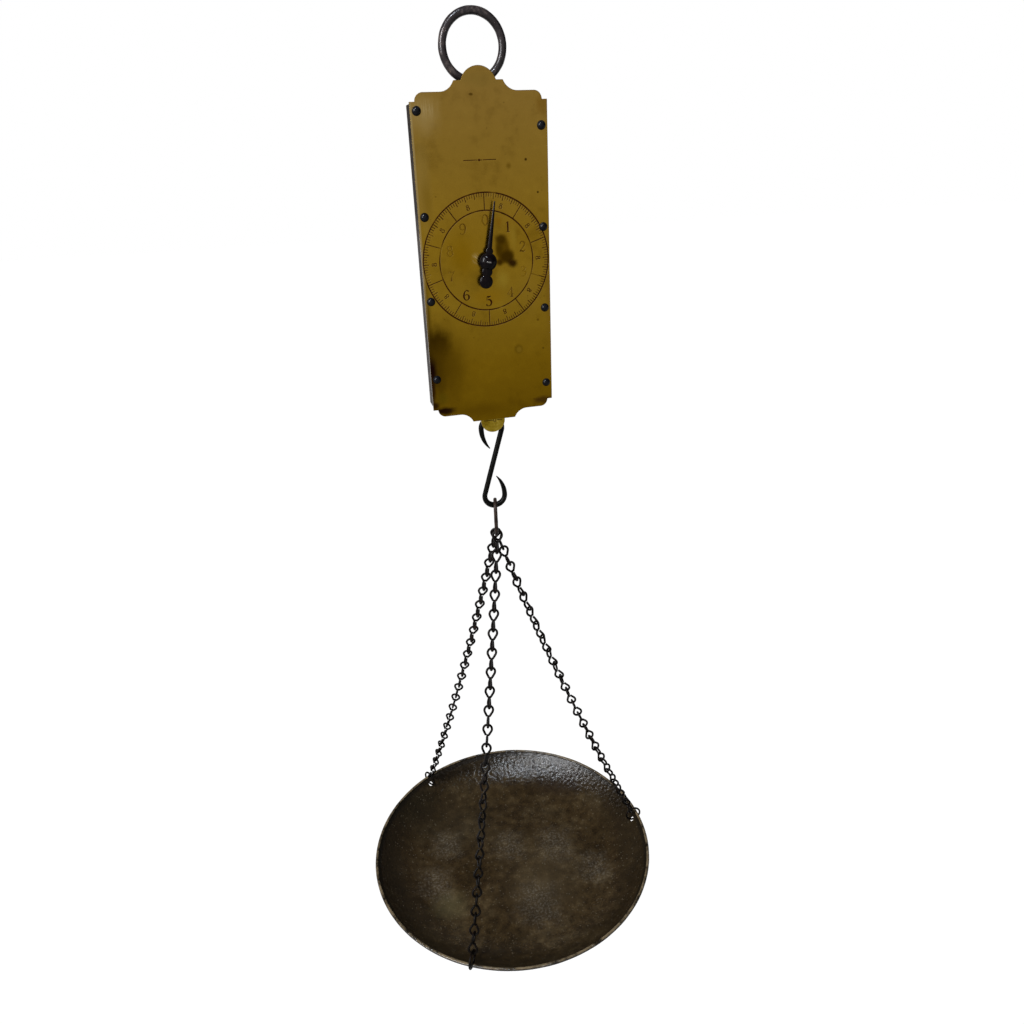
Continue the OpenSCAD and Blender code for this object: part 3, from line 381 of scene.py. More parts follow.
# centre x and z, half width and half height, tone, strength, ragged, soft
plate_blots = [
    ((-17, -124), (14, 21), (114, 84, 5), 0.75, 0.5, 0.95),
    ((0, -152), (18, 9), (120, 88, 8), 0.5, 0.5, 0.9),
    ((10.5, -140.5), (7, 9), (132, 110, 34), 0.55, 0.6, 0.95),
    ((19, -113), (3.5, 12), (132, 108, 34), 0.4, 0.6, 0.9),
    ((9, -103), (4, 5), (112, 78, 10), 0.6, 0.5, 0.9),
    ((30, -150), (11, 24), (120, 94, 27), 0.6, 0.6, 0.9),
    ((11.2, -121.5), (6.7, 11), (76, 54, 4), 1.0, 0.4, 0.5),
    ((15.3, -125), (5.4, 6.2), (72, 50, 4), 0.85, 0.5, 0.7),
    ((10.2, -114.4), (5.8, 4.8), (54, 36, 2), 0.9, 0.35, 0.7),
    ((9.2, -121), (3.4, 6.5), (60, 42, 2), 0.8, 0.4, 0.8),
    ((14.2, -126), (6.6, 5.6), (52, 35, 2), 1.0, 0.35, 0.6),
    ((17.9, -130.4), (5, 4.1), (34, 17, 4), 0.95, 0.4, 0.75),
    ((8.8, -129.2), (3.6, 3.4), (50, 32, 2), 0.95, 0.3, 0.75),
    ((-8.2, -124.4), (3.2, 3.4), (136, 112, 50), 0.5, 0.9, 0.9),
    ((-44, -172), (4.5, 60), (66, 48, 4), 0.8, 0.7, 0.9),
    ((-37, -182), (13, 17), (42, 27, 1), 1.0, 0.7, 0.75),
    ((-40, -199), (14, 32), (50, 34, 2), 0.95, 0.7, 0.9),
    ((-30, -198), (18, 38), (74, 53, 3), 0.8, 0.7, 0.95),
    ((-43.6, -200), (5, 15), (22, 7, 4), 1.0, 0.5, 0.8),
    ((-44, -214), (3.4, 14), (34, 16, 4), 0.9, 0.6, 0.8),
    ((-37.3, -220), (7, 7), (76, 62, 6), 0.5, 0.6, 0.9),
    ((-43.5, -225), (5, 4), (30, 14, 3), 0.9, 0.6, 0.7),
    ((-36, -229.6), (11, 4), (26, 10, 3), 1.0, 0.7, 0.7),
    ((-10, -232), (30, 9), (78, 56, 3), 0.7, 0.6, 0.95),
    ((38, -229), (11, 4), (58, 38, 8), 0.9, 0.9, 0.7),
    ((43.5, -150), (4, 60), (104, 78, 20), 0.6, 0.8, 0.9),
    ((-37, -38), (16, 17), (142, 119, 70), 0.7, 0.7, 0.95),
    ((-40, -78), (8, 44), (128, 104, 48), 0.6, 0.7, 0.95),
    ((-38, -88), (5, 22), (104, 78, 8), 0.5, 0.7, 0.9),
    ((41, -34), (6, 8), (104, 74, 18), 0.6, 0.8, 0.8),
    ((0, -19), (18, 7), (112, 90, 38), 0.5, 0.5, 0.9),
    ((20.2, -189.7), (4.2, 4.4), (86, 64, 8), 0.7, 0.5, 0.5),
    ((20.6, -190), (2.4, 2.6), (110, 86, 20), 0.7, 0.3, 0.5),
    ((17.5, -69.2), (2.6, 2.8), (96, 72, 16), 0.9, 0.3, 0.9),
    ((29.2, -65.8), (1.1, 1.1), (58, 40, 8), 1.0, 0.2, 0.5),
    ((37, -86), (0.9, 0.9), (58, 40, 8), 1.0, 0.2, 0.5),
    ((-5.3, -27.4), (1.7, 1.0), (74, 52, 12), 0.9, 0.6, 0.5),
    ((35, -170), (1.2, 1.2), (84, 60, 8), 0.9, 0.2, 0.6),
    ((38.5, -190.5), (0.9, 0.9), (70, 50, 8), 0.9, 0.2, 0.6),
]
plate_brass, tree, shader, place = new_finish("plate_brass_aged", 1.0, 0.5)
split = put(tree, "SeparateXYZ", {"Vector": place}).outputs
along = put(tree, "MapRange", {"Value": split["Z"], "From Min": plate_top,
                               "From Max": plate_low}).outputs[0]
ramp = put(tree, "ValToRGB", {"Fac": along})
for stop, (at, colour) in enumerate(plate_ramp):
    element = (ramp.color_ramp.elements[min(stop, 1)] if stop < 2
               else ramp.color_ramp.elements.new(at))
    element.position = at
    element.color = tone(*colour)
drift = use(tree, mottle, Place=place, Scale=0.035, Spread=0.5, Dark=tone(196, 188, 170),
            Middle=tone(238, 235, 230), Light=(1, 1, 1, 1))
colour = mix(tree, 0.6, ramp.outputs[0], drift["Colour"], "MULTIPLY")
for (x, z), (wide, tall), shade, amount, ragged, soft in plate_blots:
    patch = use(tree, blot, Place=place, Centre=(x, plate_y, z), Size=(wide, through, tall),
                Ragged=ragged, Soft=soft)["Mask"]
    colour = mix(tree, math(tree, "MULTIPLY", patch, amount), colour, tone(*shade))
scuffs = use(tree, streaks, Place=place, Stretch=(1, 1, 0.05), Scale=1.3)["Mask"]
scuffed = use(tree, blot, Place=place, Centre=(-36, plate_y, -35), Size=(13, through, 9),
              Ragged=0.7, Soft=0.95)["Mask"]
scuffed = math(tree, "MULTIPLY", scuffed, ease(tree, scuffs, 0.48, 0.66))
colour = mix(tree, math(tree, "MULTIPLY", scuffed, 0.4), colour, tone(168, 150, 108))
slanted = put(tree, "Mapping", {"Vector": place, "Rotation": (0, 0.75, 0)}).outputs[0]
rays = use(tree, streaks, Place=slanted, Stretch=(1, 1, 0.06), Scale=1.6)["Mask"]
scraped = use(tree, blot, Place=place, Centre=(-7, plate_y, -126), Size=(4.5, through, 4.5),
              Ragged=0.6, Soft=0.9)["Mask"]
scraped = math(tree, "MULTIPLY", scraped, ease(tree, rays, 0.5, 0.62))
colour = mix(tree, math(tree, "MULTIPLY", scraped, 0.7), colour, tone(176, 158, 120))
spots = use(tree, specks, Place=place, Scale=0.25, Amount=0.16)["Mask"]
colour = mix(tree, math(tree, "MULTIPLY", spots, 0.5), colour, tone(66, 46, 6))
# the left edge is lighter down to the stain, the other edges are browner
left_rim = ease(tree, split["X"], 1.6 - plate_half, 0.7 - plate_half)
left_rim = math(tree, "MULTIPLY", left_rim, ease(tree, split["Z"], -190, -120))
colour = mix(tree, math(tree, "MULTIPLY", left_rim, 0.75), colour, tone(142, 124, 82))
edge = put(tree, "Attribute", attribute_name="edge").outputs["Fac"]
colour = mix(tree, math(tree, "MULTIPLY", edge, 0.85), colour, tone(48, 34, 12))
bright = use(tree, rubbed, Edge=edge, Place=place, Amount=0.5)["Mask"]
colour = mix(tree, bright, colour, tone(84, 68, 34))
link(tree, colour, shader.inputs["Base Color"])
scratches = use(tree, streaks, Place=place, Stretch=(0.12, 1, 1), Scale=1.6)["Mask"]
polish = put(tree, "MapRange", {"Value": math(tree, "ADD", scratches, drift["Mask"]),
                                "From Min": 0.3, "From Max": 1.5, "To Min": 0.3,
                                "To Max": 0.17}).outputs[0]
link(tree, math(tree, "MULTIPLY_ADD", edge, 0.25, polish), shader.inputs["Roughness"])
ripple = noise(tree, place, 0.06, 3, 0.5)
waves = math(tree, "SUBTRACT", math(tree, "MULTIPLY", ripple, 1.2),
             math(tree, "MULTIPLY", spots, 0.3))
relief(tree, shader, math(tree, "MULTIPLY_ADD", scratches, 0.02, waves), 0.00008)
print("plate blots", len(plate_blots))

# %% [markdown]
# ## The marks' dark fill and painted highlight
# The marks were cut with a graver and filled with dark wax. The wax is worn away where fingers and
# cloths rub most. Beside each cut, a light copy of the mark moved a little to the lower right is a
# painted highlight for the cut's lit wall. The wax has a finish of its own, because it is dull
# where the brass is a mirror.

# %% Tab brass, wax and painted highlight
tab_brass = old_metal("tab_brass_bright", [(98, 78, 12), (122, 102, 26), (146, 126, 50)], 1.0,
                      (0.25, 0.4), 0.5, 0.2, speck_tone=(60, 42, 6), edge_tone=(150, 130, 66),
                      brushed=(0.1, 1, 1))
mark_fill, tree, shader, place = new_finish("mark_fill_brown", 0.0, 0.0)
shades = use(tree, mottle, Place=place, Scale=0.5, Spread=0.4, Dark=tone(20, 7, 2),
             Middle=tone(30, 12, 3), Light=tone(48, 24, 6))
worn = math(tree, "MULTIPLY", ease(tree, noise(tree, place, 0.07, 4, 0.6), 0.58, 0.74), 0.7)
# centre x and z, reach, share of the wax that is gone
rubs = [((25, -136), 9, 1.0), ((-27, -120), 8, 0.8), ((-27, -134), 7, 0.75),
        ((33, -141), 6, 0.7), ((-34, -112), 6, 0.6), ((-2, -102), 6, 0.75),
        ((-17, -107), 6, 0.65), ((27, -120), 6, 0.6), ((15, -149), 4.5, 0.6)]
for (x, z), reach, amount in rubs:
    rub = use(tree, blot, Place=place, Centre=(x, plate_y, z), Size=(reach, through, reach),
              Ragged=0.6, Soft=0.6)["Mask"]
    worn = math(tree, "MAXIMUM", worn, math(tree, "MULTIPLY", rub, amount))
link(tree, mix(tree, math(tree, "MULTIPLY", worn, 0.9), shades["Colour"], tone(82, 60, 8)),
     shader.inputs["Base Color"])
link(tree, math(tree, "SUBTRACT", 0.9, math(tree, "MULTIPLY", worn, 0.3)),
     shader.inputs["Roughness"])
relief(tree, shader, noise(tree, place, 3, 3, 0.6), 0.00002)
# light brass for the painted highlight beside each cut
groove_highlight_brass = old_metal("groove_highlight_brass_light", [(112, 86, 24), (128, 102, 40), (144, 118, 56)], 1.0,
                       (0.35, 0.5), 0.5, 0.2, edge_amount=0.0)

# %% [markdown]
# ## The pan's iron
# The pan is hammered sheet iron, browned all over. Painted shade darkens it towards its left,
# right and far sides, up its wall towards the rim and in a ring round the rolled rim, and painted
# light makes it lighter in front of the middle. Its floor is mottled with greyer clouds and
# peppered with pale specks, and the wall shows the hammer's small dents. The rolled rim is worn to
# a grey-tan band. Masks are made from the distance to the pan's middle line, so that they follow
# the round shape.

# %% Pan iron
pan_z, pan_reach, rim_inner = -675.813, 131.0, 128.6
pan_iron, tree, shader, place = new_finish("pan_iron_hammered", 0.0, 0.2)
base = use(tree, mottle, Place=place, Scale=0.022, Spread=0.34, Dark=tone(34, 24, 9),
           Middle=tone(45, 34, 18), Light=tone(58, 47, 30))
patches = use(tree, mottle, Place=place, Scale=0.13, Spread=0.34, Dark=tone(132, 126, 116),
              Middle=tone(196, 192, 184), Light=(1, 1, 1, 1))
colour = mix(tree, 0.8, base["Colour"], patches["Colour"], "MULTIPLY")
# centre x and y, half width and half depth, tone, strength. The dark patches towards the left,
# right and far sides are painted shade, and the two lighter ones in front are painted light, so
# that the pan is darker at its sides and lighter in its middle.
pan_shade_and_patches = [((-112, 20), (60, 120), (25, 16, 5), 0.65),
              ((118, -10), (40, 100), (28, 20, 9), 0.55),
              ((78, 92), (46, 36), (14, 7, 6), 0.85), ((-80, 84), (40, 44), (18, 14, 6), 0.7),
              ((-40, 60), (60, 50), (34, 28, 18), 0.5), ((-70, -30), (26, 22), (72, 66, 44), 0.4),
              ((20, -30), (60, 46), (60, 50, 34), 0.4)]
# centre x and y, reach
pan_clouds = [(2, 22, 26), (46, 10, 30), (74, -28, 26), (-78, -4, 26), (10, -52, 34),
              (-60, 40, 24)]
split = put(tree, "SeparateXYZ", {"Vector": place}).outputs
flat = put(tree, "CombineXYZ", {"X": split["X"], "Y": split["Y"]}).outputs[0]
out = put(tree, "VectorMath", {0: flat}, operation="LENGTH").outputs["Value"]
lift = math(tree, "SUBTRACT", split["Z"], pan_z)
wall = ease(tree, out, 96, 124)
for (x, y), (wide, deep), shade, amount in pan_shade_and_patches:
    patch = use(tree, blot, Place=place, Centre=(x, y, pan_z), Size=(wide, deep, through),
                Ragged=0.7, Soft=0.95)["Mask"]
    colour = mix(tree, math(tree, "MULTIPLY", patch, amount), colour, tone(*shade))
clouds = 0.0
for x, y, reach in pan_clouds:
    cloud = use(tree, blot, Place=place, Centre=(x, y, pan_z), Size=(reach, reach, through),
                Ragged=1.2, Soft=0.95)["Mask"]
    clouds = math(tree, "MAXIMUM", clouds, cloud)
grain = ease(tree, noise(tree, place, 0.45, 5, 0.7), 0.46, 0.62)
clouds = math(tree, "MULTIPLY", clouds, math(tree, "MULTIPLY_ADD", grain, 0.5, 0.08))
colour = mix(tree, clouds, colour, tone(84, 77, 66))
# painted shade: the wall darkens towards the rim, inside and out
colour = mix(tree, math(tree, "MULTIPLY", wall, 0.45), colour, tone(18, 13, 6))
pale = use(tree, specks, Place=place, Scale=0.3, Amount=0.2)["Mask"]
dust = use(tree, specks, Place=place, Scale=0.5, Amount=0.42)["Mask"]
pepper = math(tree, "MAXIMUM", math(tree, "MULTIPLY", pale, 0.2),
              math(tree, "MULTIPLY", dust, 0.18))
colour = mix(tree, pepper, colour, tone(104, 96, 80))
# painted shade: a dark ring in the crease inside the rim and on the rim's sides
rim_crease_shade = math(tree, "MULTIPLY", ease(tree, out, rim_inner - 2.6, rim_inner - 0.8),
              ease(tree, lift, -6, -2))
colour = mix(tree, math(tree, "MULTIPLY", rim_crease_shade, 0.8), colour, tone(13, 9, 5))
band = math(tree, "MULTIPLY", ease(tree, out, rim_inner + 0.6, rim_inner + 1.5),
            ease(tree, out, rim_inner + 3.9, rim_inner + 3.1))
band = math(tree, "MULTIPLY", band, ease(tree, lift, 0.1, 0.9))
wear = noise(tree, place, 0.09, 5, 0.65)
band = math(tree, "MULTIPLY", band, ease(tree, wear, 0.36, 0.6))
colour = mix(tree, band, colour, tone(84, 72, 54))
link(tree, colour, shader.inputs["Base Color"])
rough = math(tree, "MULTIPLY_ADD", base["Mask"], -0.06, 0.24)
link(tree, math(tree, "SUBTRACT", rough, math(tree, "MULTIPLY", band, 0.1)),
     shader.inputs["Roughness"])
dents = use(tree, hammering, Place=place, Scale=0.3)["Height"]
grit = noise(tree, place, 1.1, 4, 0.65)
dent_depth = math(tree, "MULTIPLY_ADD", wall, 1.6, 0.7)
relief(tree, shader, math(tree, "MULTIPLY_ADD", dents, dent_depth,
                          math(tree, "MULTIPLY", grit, 0.35)), 0.00022)
print("materials", len(bpy.data.materials))

# %% [markdown]
# ## Helpers for the modelling
# An operator acts on whatever is selected, so each helper first deselects everything. A finished
# piece stays at the origin with its place in its mesh, takes the place of its CAD node, and
# rides on that node's body.

# %% Selecting, modifying, finishing
def rest():
    """Leaves edit mode and deselects everything."""
    if bpy.context.object and bpy.context.object.mode != "OBJECT":
        bpy.ops.object.mode_set(mode="OBJECT")
    bpy.ops.object.select_all(action="DESELECT")

def take(*objs):
    """Selects only these objects; the first is the active one."""
    rest()
    for obj in objs:
        obj.select_set(True)
    bpy.context.view_layer.objects.active = objs[0]

def pick(obj):
    """Enters edit mode with all of the mesh selected."""
    take(obj)
    bpy.ops.object.mode_set(mode="EDIT")
    bpy.ops.mesh.select_mode(type="VERT")
    bpy.ops.mesh.select_all(action="SELECT")

def clean(obj, recalculate=True):
    """Merges doubled corners and turns the faces outwards."""
    pick(obj)
    bpy.ops.mesh.remove_doubles(threshold=0.002 * mm)
    if recalculate:
        bpy.ops.mesh.normals_make_consistent(inside=False)
    rest()

def modify(obj, kind, **settings):
    """Adds a modifier and applies it."""
    take(obj)
    modifier = obj.modifiers.new(kind.lower(), kind)
    for key, value in settings.items():
        setattr(modifier, key, value)
    bpy.ops.object.modifier_apply(modifier=modifier.name)

def combine(obj, other, operation="DIFFERENCE"):
    """Cuts other out of obj, or welds the two together, and takes other away."""
    modify(obj, "BOOLEAN", operation=operation, object=other, solver="EXACT")
    bpy.data.objects.remove(other)

def settled():
    """The new primitive, with its place and turn moved into its mesh."""
    obj = bpy.context.object
    take(obj)
    bpy.ops.object.transform_apply(location=True, rotation=True, scale=True)
    return obj

def squash(obj, scale, centre):
    """Scales all of a mesh about a centre given in metres."""
    pick(obj)
    bpy.ops.transform.resize(value=scale, center_override=centre)
    rest()

def twin_of(obj):
    """A copy with its own mesh."""
    twin = obj.copy()
    twin.data = obj.data.copy()
    bpy.context.scene.collection.objects.link(twin)
    return twin

def round_shading(obj, angle):
    """Smooth faces, with every edge sharper than the angle kept crisp."""
    take(obj)
    bpy.ops.object.shade_smooth_by_angle(angle=radians(angle))

def join(name, *objs):
    """One object from several."""
    take(*objs)
    if len(objs) > 1:
        bpy.ops.object.join()
    objs[0].name = objs[0].data.name = name
    return objs[0]

def set_in_place(obj, name, body, finish, slot, *nodes):
    """Names the piece, gives it its finish, and lets it ride on its body for its CAD nodes."""
    rest()
    obj.name = obj.data.name = name
    obj.data.materials.clear()
    obj.data.materials.append(finish)
    if nodes:
        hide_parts(*nodes)
    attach(obj, body)
    print(name, len(obj.data.vertices), "corners on", body)
    return obj

# %% [markdown]
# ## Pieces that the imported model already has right
# Sheet, bars, nuts, teeth and bushes only lack what a tool leaves: a small bevel on each edge,
# rubbed bright. A copy of the node's mesh is merged, its flat faces are joined, and a Bevel
# modifier rounds the edges. The bevel's faces are marked in an attribute that the finish reads.

# %% Bevelled copies
def dressed(node, bevel, body, finish, slot, segments=2):
    """A bevelled copy of a CAD node with its edges marked."""
    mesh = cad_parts[node].data.copy()
    obj = bpy.data.objects.new(node + "_piece", mesh)
    bpy.context.scene.collection.objects.link(obj)
    mesh.materials.clear()
    for _ in range(2):
        mesh.materials.append(finish)
    clean(obj, recalculate=False)
    pick(obj)
    bpy.ops.mesh.customdata_custom_splitnormals_clear()
    bpy.ops.mesh.dissolve_limited(angle_limit=radians(1))
    modify(obj, "BEVEL", width=bevel * mm, segments=segments, limit_method="ANGLE",
           angle_limit=radians(35), use_clamp_overlap=False, material=1)
    faces = len(mesh.polygons)
    index, corners = np.zeros(faces, int), np.zeros(faces, int)
    obj.data.polygons.foreach_get("material_index", index)
    obj.data.polygons.foreach_get("loop_total", corners)
    edge = obj.data.attributes.new("edge", "FLOAT", "CORNER")
    edge.data.foreach_set("value", np.repeat(index, corners).astype(np.float32))
    obj.data.polygons.foreach_set("material_index", [0] * faces)
    round_shading(obj, 45)
    modify(obj, "WEIGHTED_NORMAL", keep_sharp=True)
    return set_in_place(obj, node + "_piece", body, finish, slot, node)

for row in [("suspension_eye", 0.7, "case", forged_iron, "forged_iron", 3),
            ("eye_nut", 0.25, "case", fastener_steel, "steel_fasteners"),
            ("case_shell", 0.25, "case", case_iron, "case_iron"),
            ("dial_plate", 0.2, "case", plate_brass, "plate_brass"),
            ("top_bar", 0.4, "case", forged_iron, "forged_iron"),
            ("top_bar_rivets", 0.3, "case", forged_iron, "forged_iron"),
            ("dial_bush", 0.15, "case", works_brass, "works_brass"),
            ("bridge", 0.2, "case", works_brass, "works_brass"),
            ("bridge_pillars", 0.15, "case", works_brass, "works_brass"),
            ("bridge_screws", 0.1, "case", fastener_steel, "steel_fasteners"),
            ("rack_guide", 0.2, "case", works_brass, "works_brass"),
            ("pinion_arbor", 0.05, "pointer", works_steel, "works_steel"),
            ("pointer_collet", 0.2, "pointer", pointer_steel, "pointer_steel"),
            ("crosshead", 0.4, "drawbar", forged_iron, "forged_iron"),
            ("rack", 0.06, "drawbar", works_steel, "works_steel"),
            ("rack_screws", 0.12, "drawbar", fastener_steel, "steel_fasteners"),
            ("draw_bar", 0.35, "drawbar", forged_iron, "forged_iron"),
            ("draw_bar_nut", 0.25, "drawbar", fastener_steel, "steel_fasteners"),
            ("draw_tab", 0.25, "drawbar", tab_brass, "tab_brass"),
            ("tab_rivets", 0.2, "drawbar", works_brass, "tab_brass")]:
    dressed(*row)

# %% [markdown]
# ## Round bar and wire
# The ring, the hook, the hanger, the links and the springs are all round bar bent along a path.
# A curve with a round bevel is such a bar, and each of its points can have its own thickness, so
# one helper bends them all. The curve is made a mesh at once.

# %% Bending a bar
def bar(points, radius, thick=None, sides=12, closed=False):
    """A round bar through points in mm. thick scales its radius at each point."""
    rest()
    bpy.ops.curve.primitive_bezier_curve_add(location=(0, 0, 0))
    obj = bpy.context.object
    curve = obj.data
    curve.splines.clear()
    spline = curve.splines.new("POLY")
    spline.points.add(len(points) - 1)
    for corner, point, scale in zip(spline.points, points, thick or [1] * len(points)):
        corner.co = (*(c * mm for c in point), 1)
        corner.radius = scale
    spline.use_cyclic_u = closed
    curve.dimensions = "3D"
    curve.bevel_depth = radius * mm
    curve.bevel_resolution = sides // 2 - 2
    curve.use_fill_caps = not closed
    take(obj)
    bpy.ops.object.convert(target="MESH")
    obj = bpy.context.object
    clean(obj)
    round_shading(obj, 50)
    return obj

def arc(centre, radius, start, end, steps, plane=(0, 2)):
    """Points round a centre in mm, from one angle to another in degrees."""
    points = []
    for i in range(steps + 1):
        angle = radians(start + (end - start) * i / steps)
        point = list(centre)
        point[plane[0]] += radius * cos(angle)
        point[plane[1]] += radius * sin(angle)
        points.append(tuple(point))
    return points

def uneven(obj, depth, size):
    """Sinks the surface here and there by up to depth, over spans of about size, in mm."""
    clouds = bpy.data.textures.new("uneven", "CLOUDS")
    clouds.noise_scale = size * mm
    modify(obj, "DISPLACE", texture=clouds, strength=2 * depth * mm, mid_level=1.0,
           texture_coords="LOCAL")

# %% [markdown]
# ### The hanging ring
# It is forged from round bar and never quite even. A torus of the bar's size is sunk here and
# there by a soft noise, always inwards, so that it stays inside the solid. A ring has no ends,
# so the plain primitive serves and nothing has to be bent.

# %% Hanging ring
ring_bar, ring_mid = 5.3, 19.35
rest()
bpy.ops.mesh.primitive_torus_add(major_radius=ring_mid * mm, minor_radius=ring_bar / 2 * mm,
                                 major_segments=120, minor_segments=28,
                                 rotation=(pi / 2, 0, 0))
ring = settled()
uneven(ring, 0.12, 6)
round_shading(ring, 60)
set_in_place(ring, "ring_piece", "ring", ring_iron, "ring_iron", "hanging_ring")

# %% [markdown]
# ### The S hook
# One bar with a loop at each end. The loops lie in one plane, and each point is drawn in and
# tapers. Between its two bearings the bar was drawn a little thinner. The lower half is the
# upper half turned round, so only half of the path is worked out.

# %% S hook
hook_bar, hook_r, hook_c, hook_z = 2.4, 8.0, 27.7, -277.911
shank_a = degrees(asin(hook_r / hook_c))
shank_half = sqrt(hook_c ** 2 - hook_r ** 2)
loop_steps, drawn_thin = 30, 0.86
tip_r, tip_a, tip_thick, tip_steps, tip_draw = 24.5, 41, 0.45 / 2.4, 14, 1.9
shank = [(shank_half * sin(radians(shank_a)) * t, 0, shank_half * cos(radians(shank_a)) * t)
         for t in (0.2, 0.4, 0.6, 0.8)]
loop = arc((0, 0, hook_c), hook_r, -shank_a, 180, loop_steps)
tip = arc((tip_r - hook_r, 0, hook_c), tip_r, 180, 180 + tip_a, tip_steps)[1:]
half = shank + loop + tip
taper = [drawn_thin] * len(shank)
taper += [drawn_thin + (1 - drawn_thin) * max(0, sin(pi * i / loop_steps)) ** 2
          for i in range(loop_steps + 1)]
taper += [drawn_thin - (drawn_thin - tip_thick) * ((i + 1) / tip_steps) ** tip_draw
          for i in range(tip_steps)]
other = [(-x, 0, -z) for x, y, z in reversed(half)]
path = [(x, y, z + hook_z) for x, y, z in other + half]
hook = bar(path, hook_bar - 0.01, taper[::-1] + taper, sides=20)
uneven(hook, 0.07, 5)
set_in_place(hook, "hook_piece", "hook", hook_iron, "hook_iron", "s_hook")

# %% [markdown]
# ### The hanger
# A plain oval link of thinner bar. It was closed by a forge weld, which shows as a slight lump
# on one of its straight sides. Two half circles and two straights make its path, and the lump is
# three points with a little more thickness. It hangs turned, nearly edge-on to the camera.

# %% Hanger
hanger_top, hanger_low, hanger_r, hanger_bar = -309.661, -338.661, 8.0, 1.5
hanger_turn = -12.5
top_c, low_c = hanger_top - hanger_r, hanger_low + hanger_r
loop = (arc((0, 0, top_c), hanger_r, 0, 180, 26, (1, 2))
        + [(0, -hanger_r, top_c + (low_c - top_c) * t) for t in (0.25, 0.4, 0.5, 0.6, 0.75)]
        + arc((0, 0, low_c), hanger_r, 180, 360, 26, (1, 2))
        + [(0, hanger_r, low_c + (top_c - low_c) * t) for t in (0.33, 0.66)])
weld = [1.0] * len(loop)
weld[28:31] = [1.03, 1.06, 1.03]
hanger = bar(loop, hanger_bar - 0.01, weld, sides=16, closed=True)
hanger.data.transform(Matrix.Rotation(radians(hanger_turn), 4, "Z"))
uneven(hanger, 0.05, 4)
set_in_place(hanger, "hanger_piece", "hanger", hanger_iron, "hanger_iron", "hanger_link")

# %% [markdown]
# ### The springs
# Two tension springs of 24 turns. Each end winds in to the middle and enters its bar there. A
# Screw modifier would make an even coil, but here the radius has to shrink at both ends, so the
# points are worked out one by one.

# %% Springs
wire_r, coil_r, turns, lead, spring_len, head_top = 1.0, 6.0, 24, 2, 122.0, -160.65
rise = (spring_len - 4 * wire_r) / turns
per_turn = 26
sunk = 0.02  # how far each end stops short of the solid's end face

def coil(x, hand):
    """The points of one spring's wire; hand is 1 or -1 for the way it winds."""
    points = [(x, 0, head_top + sunk)]
    for i in range(turns * per_turn + 1):
        turn = i / per_turn
        t = min(1, turn / lead, (turns - turn) / lead)
        out = coil_r * t * t * (3 - 2 * t)
        points.append((x + hand * out * cos(2 * pi * turn), out * sin(2 * pi * turn),
                       head_top + 2 * wire_r + rise * turn))
    return points + [(x, 0, head_top + spring_len - sunk)]

for side, x, hand in (("left", -23.5, 1), ("right", 23.5, -1)):
    spring = bar(coil(x, hand), wire_r - 0.01, sides=12)
    spring.name = spring.data.name = "spring_%s_piece" % side
    spring.data.materials.clear()
    spring.data.materials.append(spring_steel)
    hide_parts("spring_" + side)
    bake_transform(spring)
    print(spring.name, len(spring.data.vertices), "corners")

# %% [markdown]
# ## Turned pieces
# Screw heads, nuts and the pan are round about an axis, like work from a lathe. One corner is
# extruded along the outline, and the outline is spun.

# %% Lathe
def lathe(outline, steps, axis=(0, 0, 1), centre=(0, 0, 0)):
    """Spins an outline of (x, y, z) points in mm, which starts and ends on the axis."""
    rest()
    bpy.ops.mesh.primitive_plane_add(size=mm)
    obj = bpy.context.object
    pick(obj)
    bpy.ops.mesh.merge(type="CENTER")
    points = [Vector(p) * mm for p in outline]
    bpy.ops.transform.translate(value=points[0])
    for before, after in zip(points, points[1:]):
        bpy.ops.mesh.extrude_region_move(TRANSFORM_OT_translate={"value": after - before})
    bpy.ops.mesh.select_all(action="SELECT")
    bpy.ops.mesh.spin(steps=steps, angle=2 * pi, axis=axis, center=Vector(centre) * mm)
    clean(obj)
    return obj

def copy_to(obj, moves):
    """Copies in place of the first piece, each moved by its matrix, joined to one object."""
    copies = []
    for move in moves:
        copies.append(twin_of(obj))
        copies[-1].data.transform(move)
    mesh = obj.data
    bpy.data.objects.remove(obj)
    bpy.data.meshes.remove(mesh)
    return join(copies[0].name, *copies)

# %% [markdown]
# ### The plate's screws
# Eight round heads. Filed and blackened, each has a soft shoulder where the dome meets its rim.
# One screw is turned and copied to the eight places, each turned a little on its own axis.

# %% Plate screws
dial_z, screw_x, head_r, head_h = -127.95, 40.3, 2.9, 2.2
dome_r = (head_r ** 2 + head_h ** 2) / (2 * head_h)
dome_a = degrees(asin(head_r / dome_r))
dome = [(dome_r * sin(radians(dome_a * i / 9)), plate_y - head_h + dome_r
         - dome_r * cos(radians(dome_a * i / 9)), 0) for i in range(9)]
shoulder = [(head_r - 0.06, plate_y - 0.42, 0), (head_r, plate_y - 0.2, 0), (head_r, plate_y, 0)]
stem_r, stem_end = 1.45, -6.6
stem = [(stem_r, plate_y, 0), (stem_r, stem_end - 0.3, 0), (1.1, stem_end, 0), (0, stem_end, 0)]
screw = lathe(dome + shoulder + stem, 28, axis=(0, 1, 0))
round_shading(screw, 50)
left_top, right_top, drops, slack_turn = 92, 82, (0, 62, 116, 170), 1.1
places = [(-screw_x, dial_z + left_top - drop) for drop in drops]
places += [(screw_x, dial_z + right_top - drop) for drop in drops]
screws = copy_to(screw, [Matrix.Translation((x * mm, 0, z * mm))
                         @ Matrix.Rotation(i * slack_turn, 4, "Y")
                         for i, (x, z) in enumerate(places)])
set_in_place(screws, "plate_screws_piece", "case", screw_iron, "screw_heads", "plate_screws")

# %% [markdown]
# ### The pointer
# Blued steel: a slender blade with a ridge along its middle, a small boss above the hub, a
# larger one below, and a ball as counterweight. Each shape is a primitive, flattened and rounded
# in edit mode, and a Boolean makes one body of them. The arbor's hole is left in the hub.

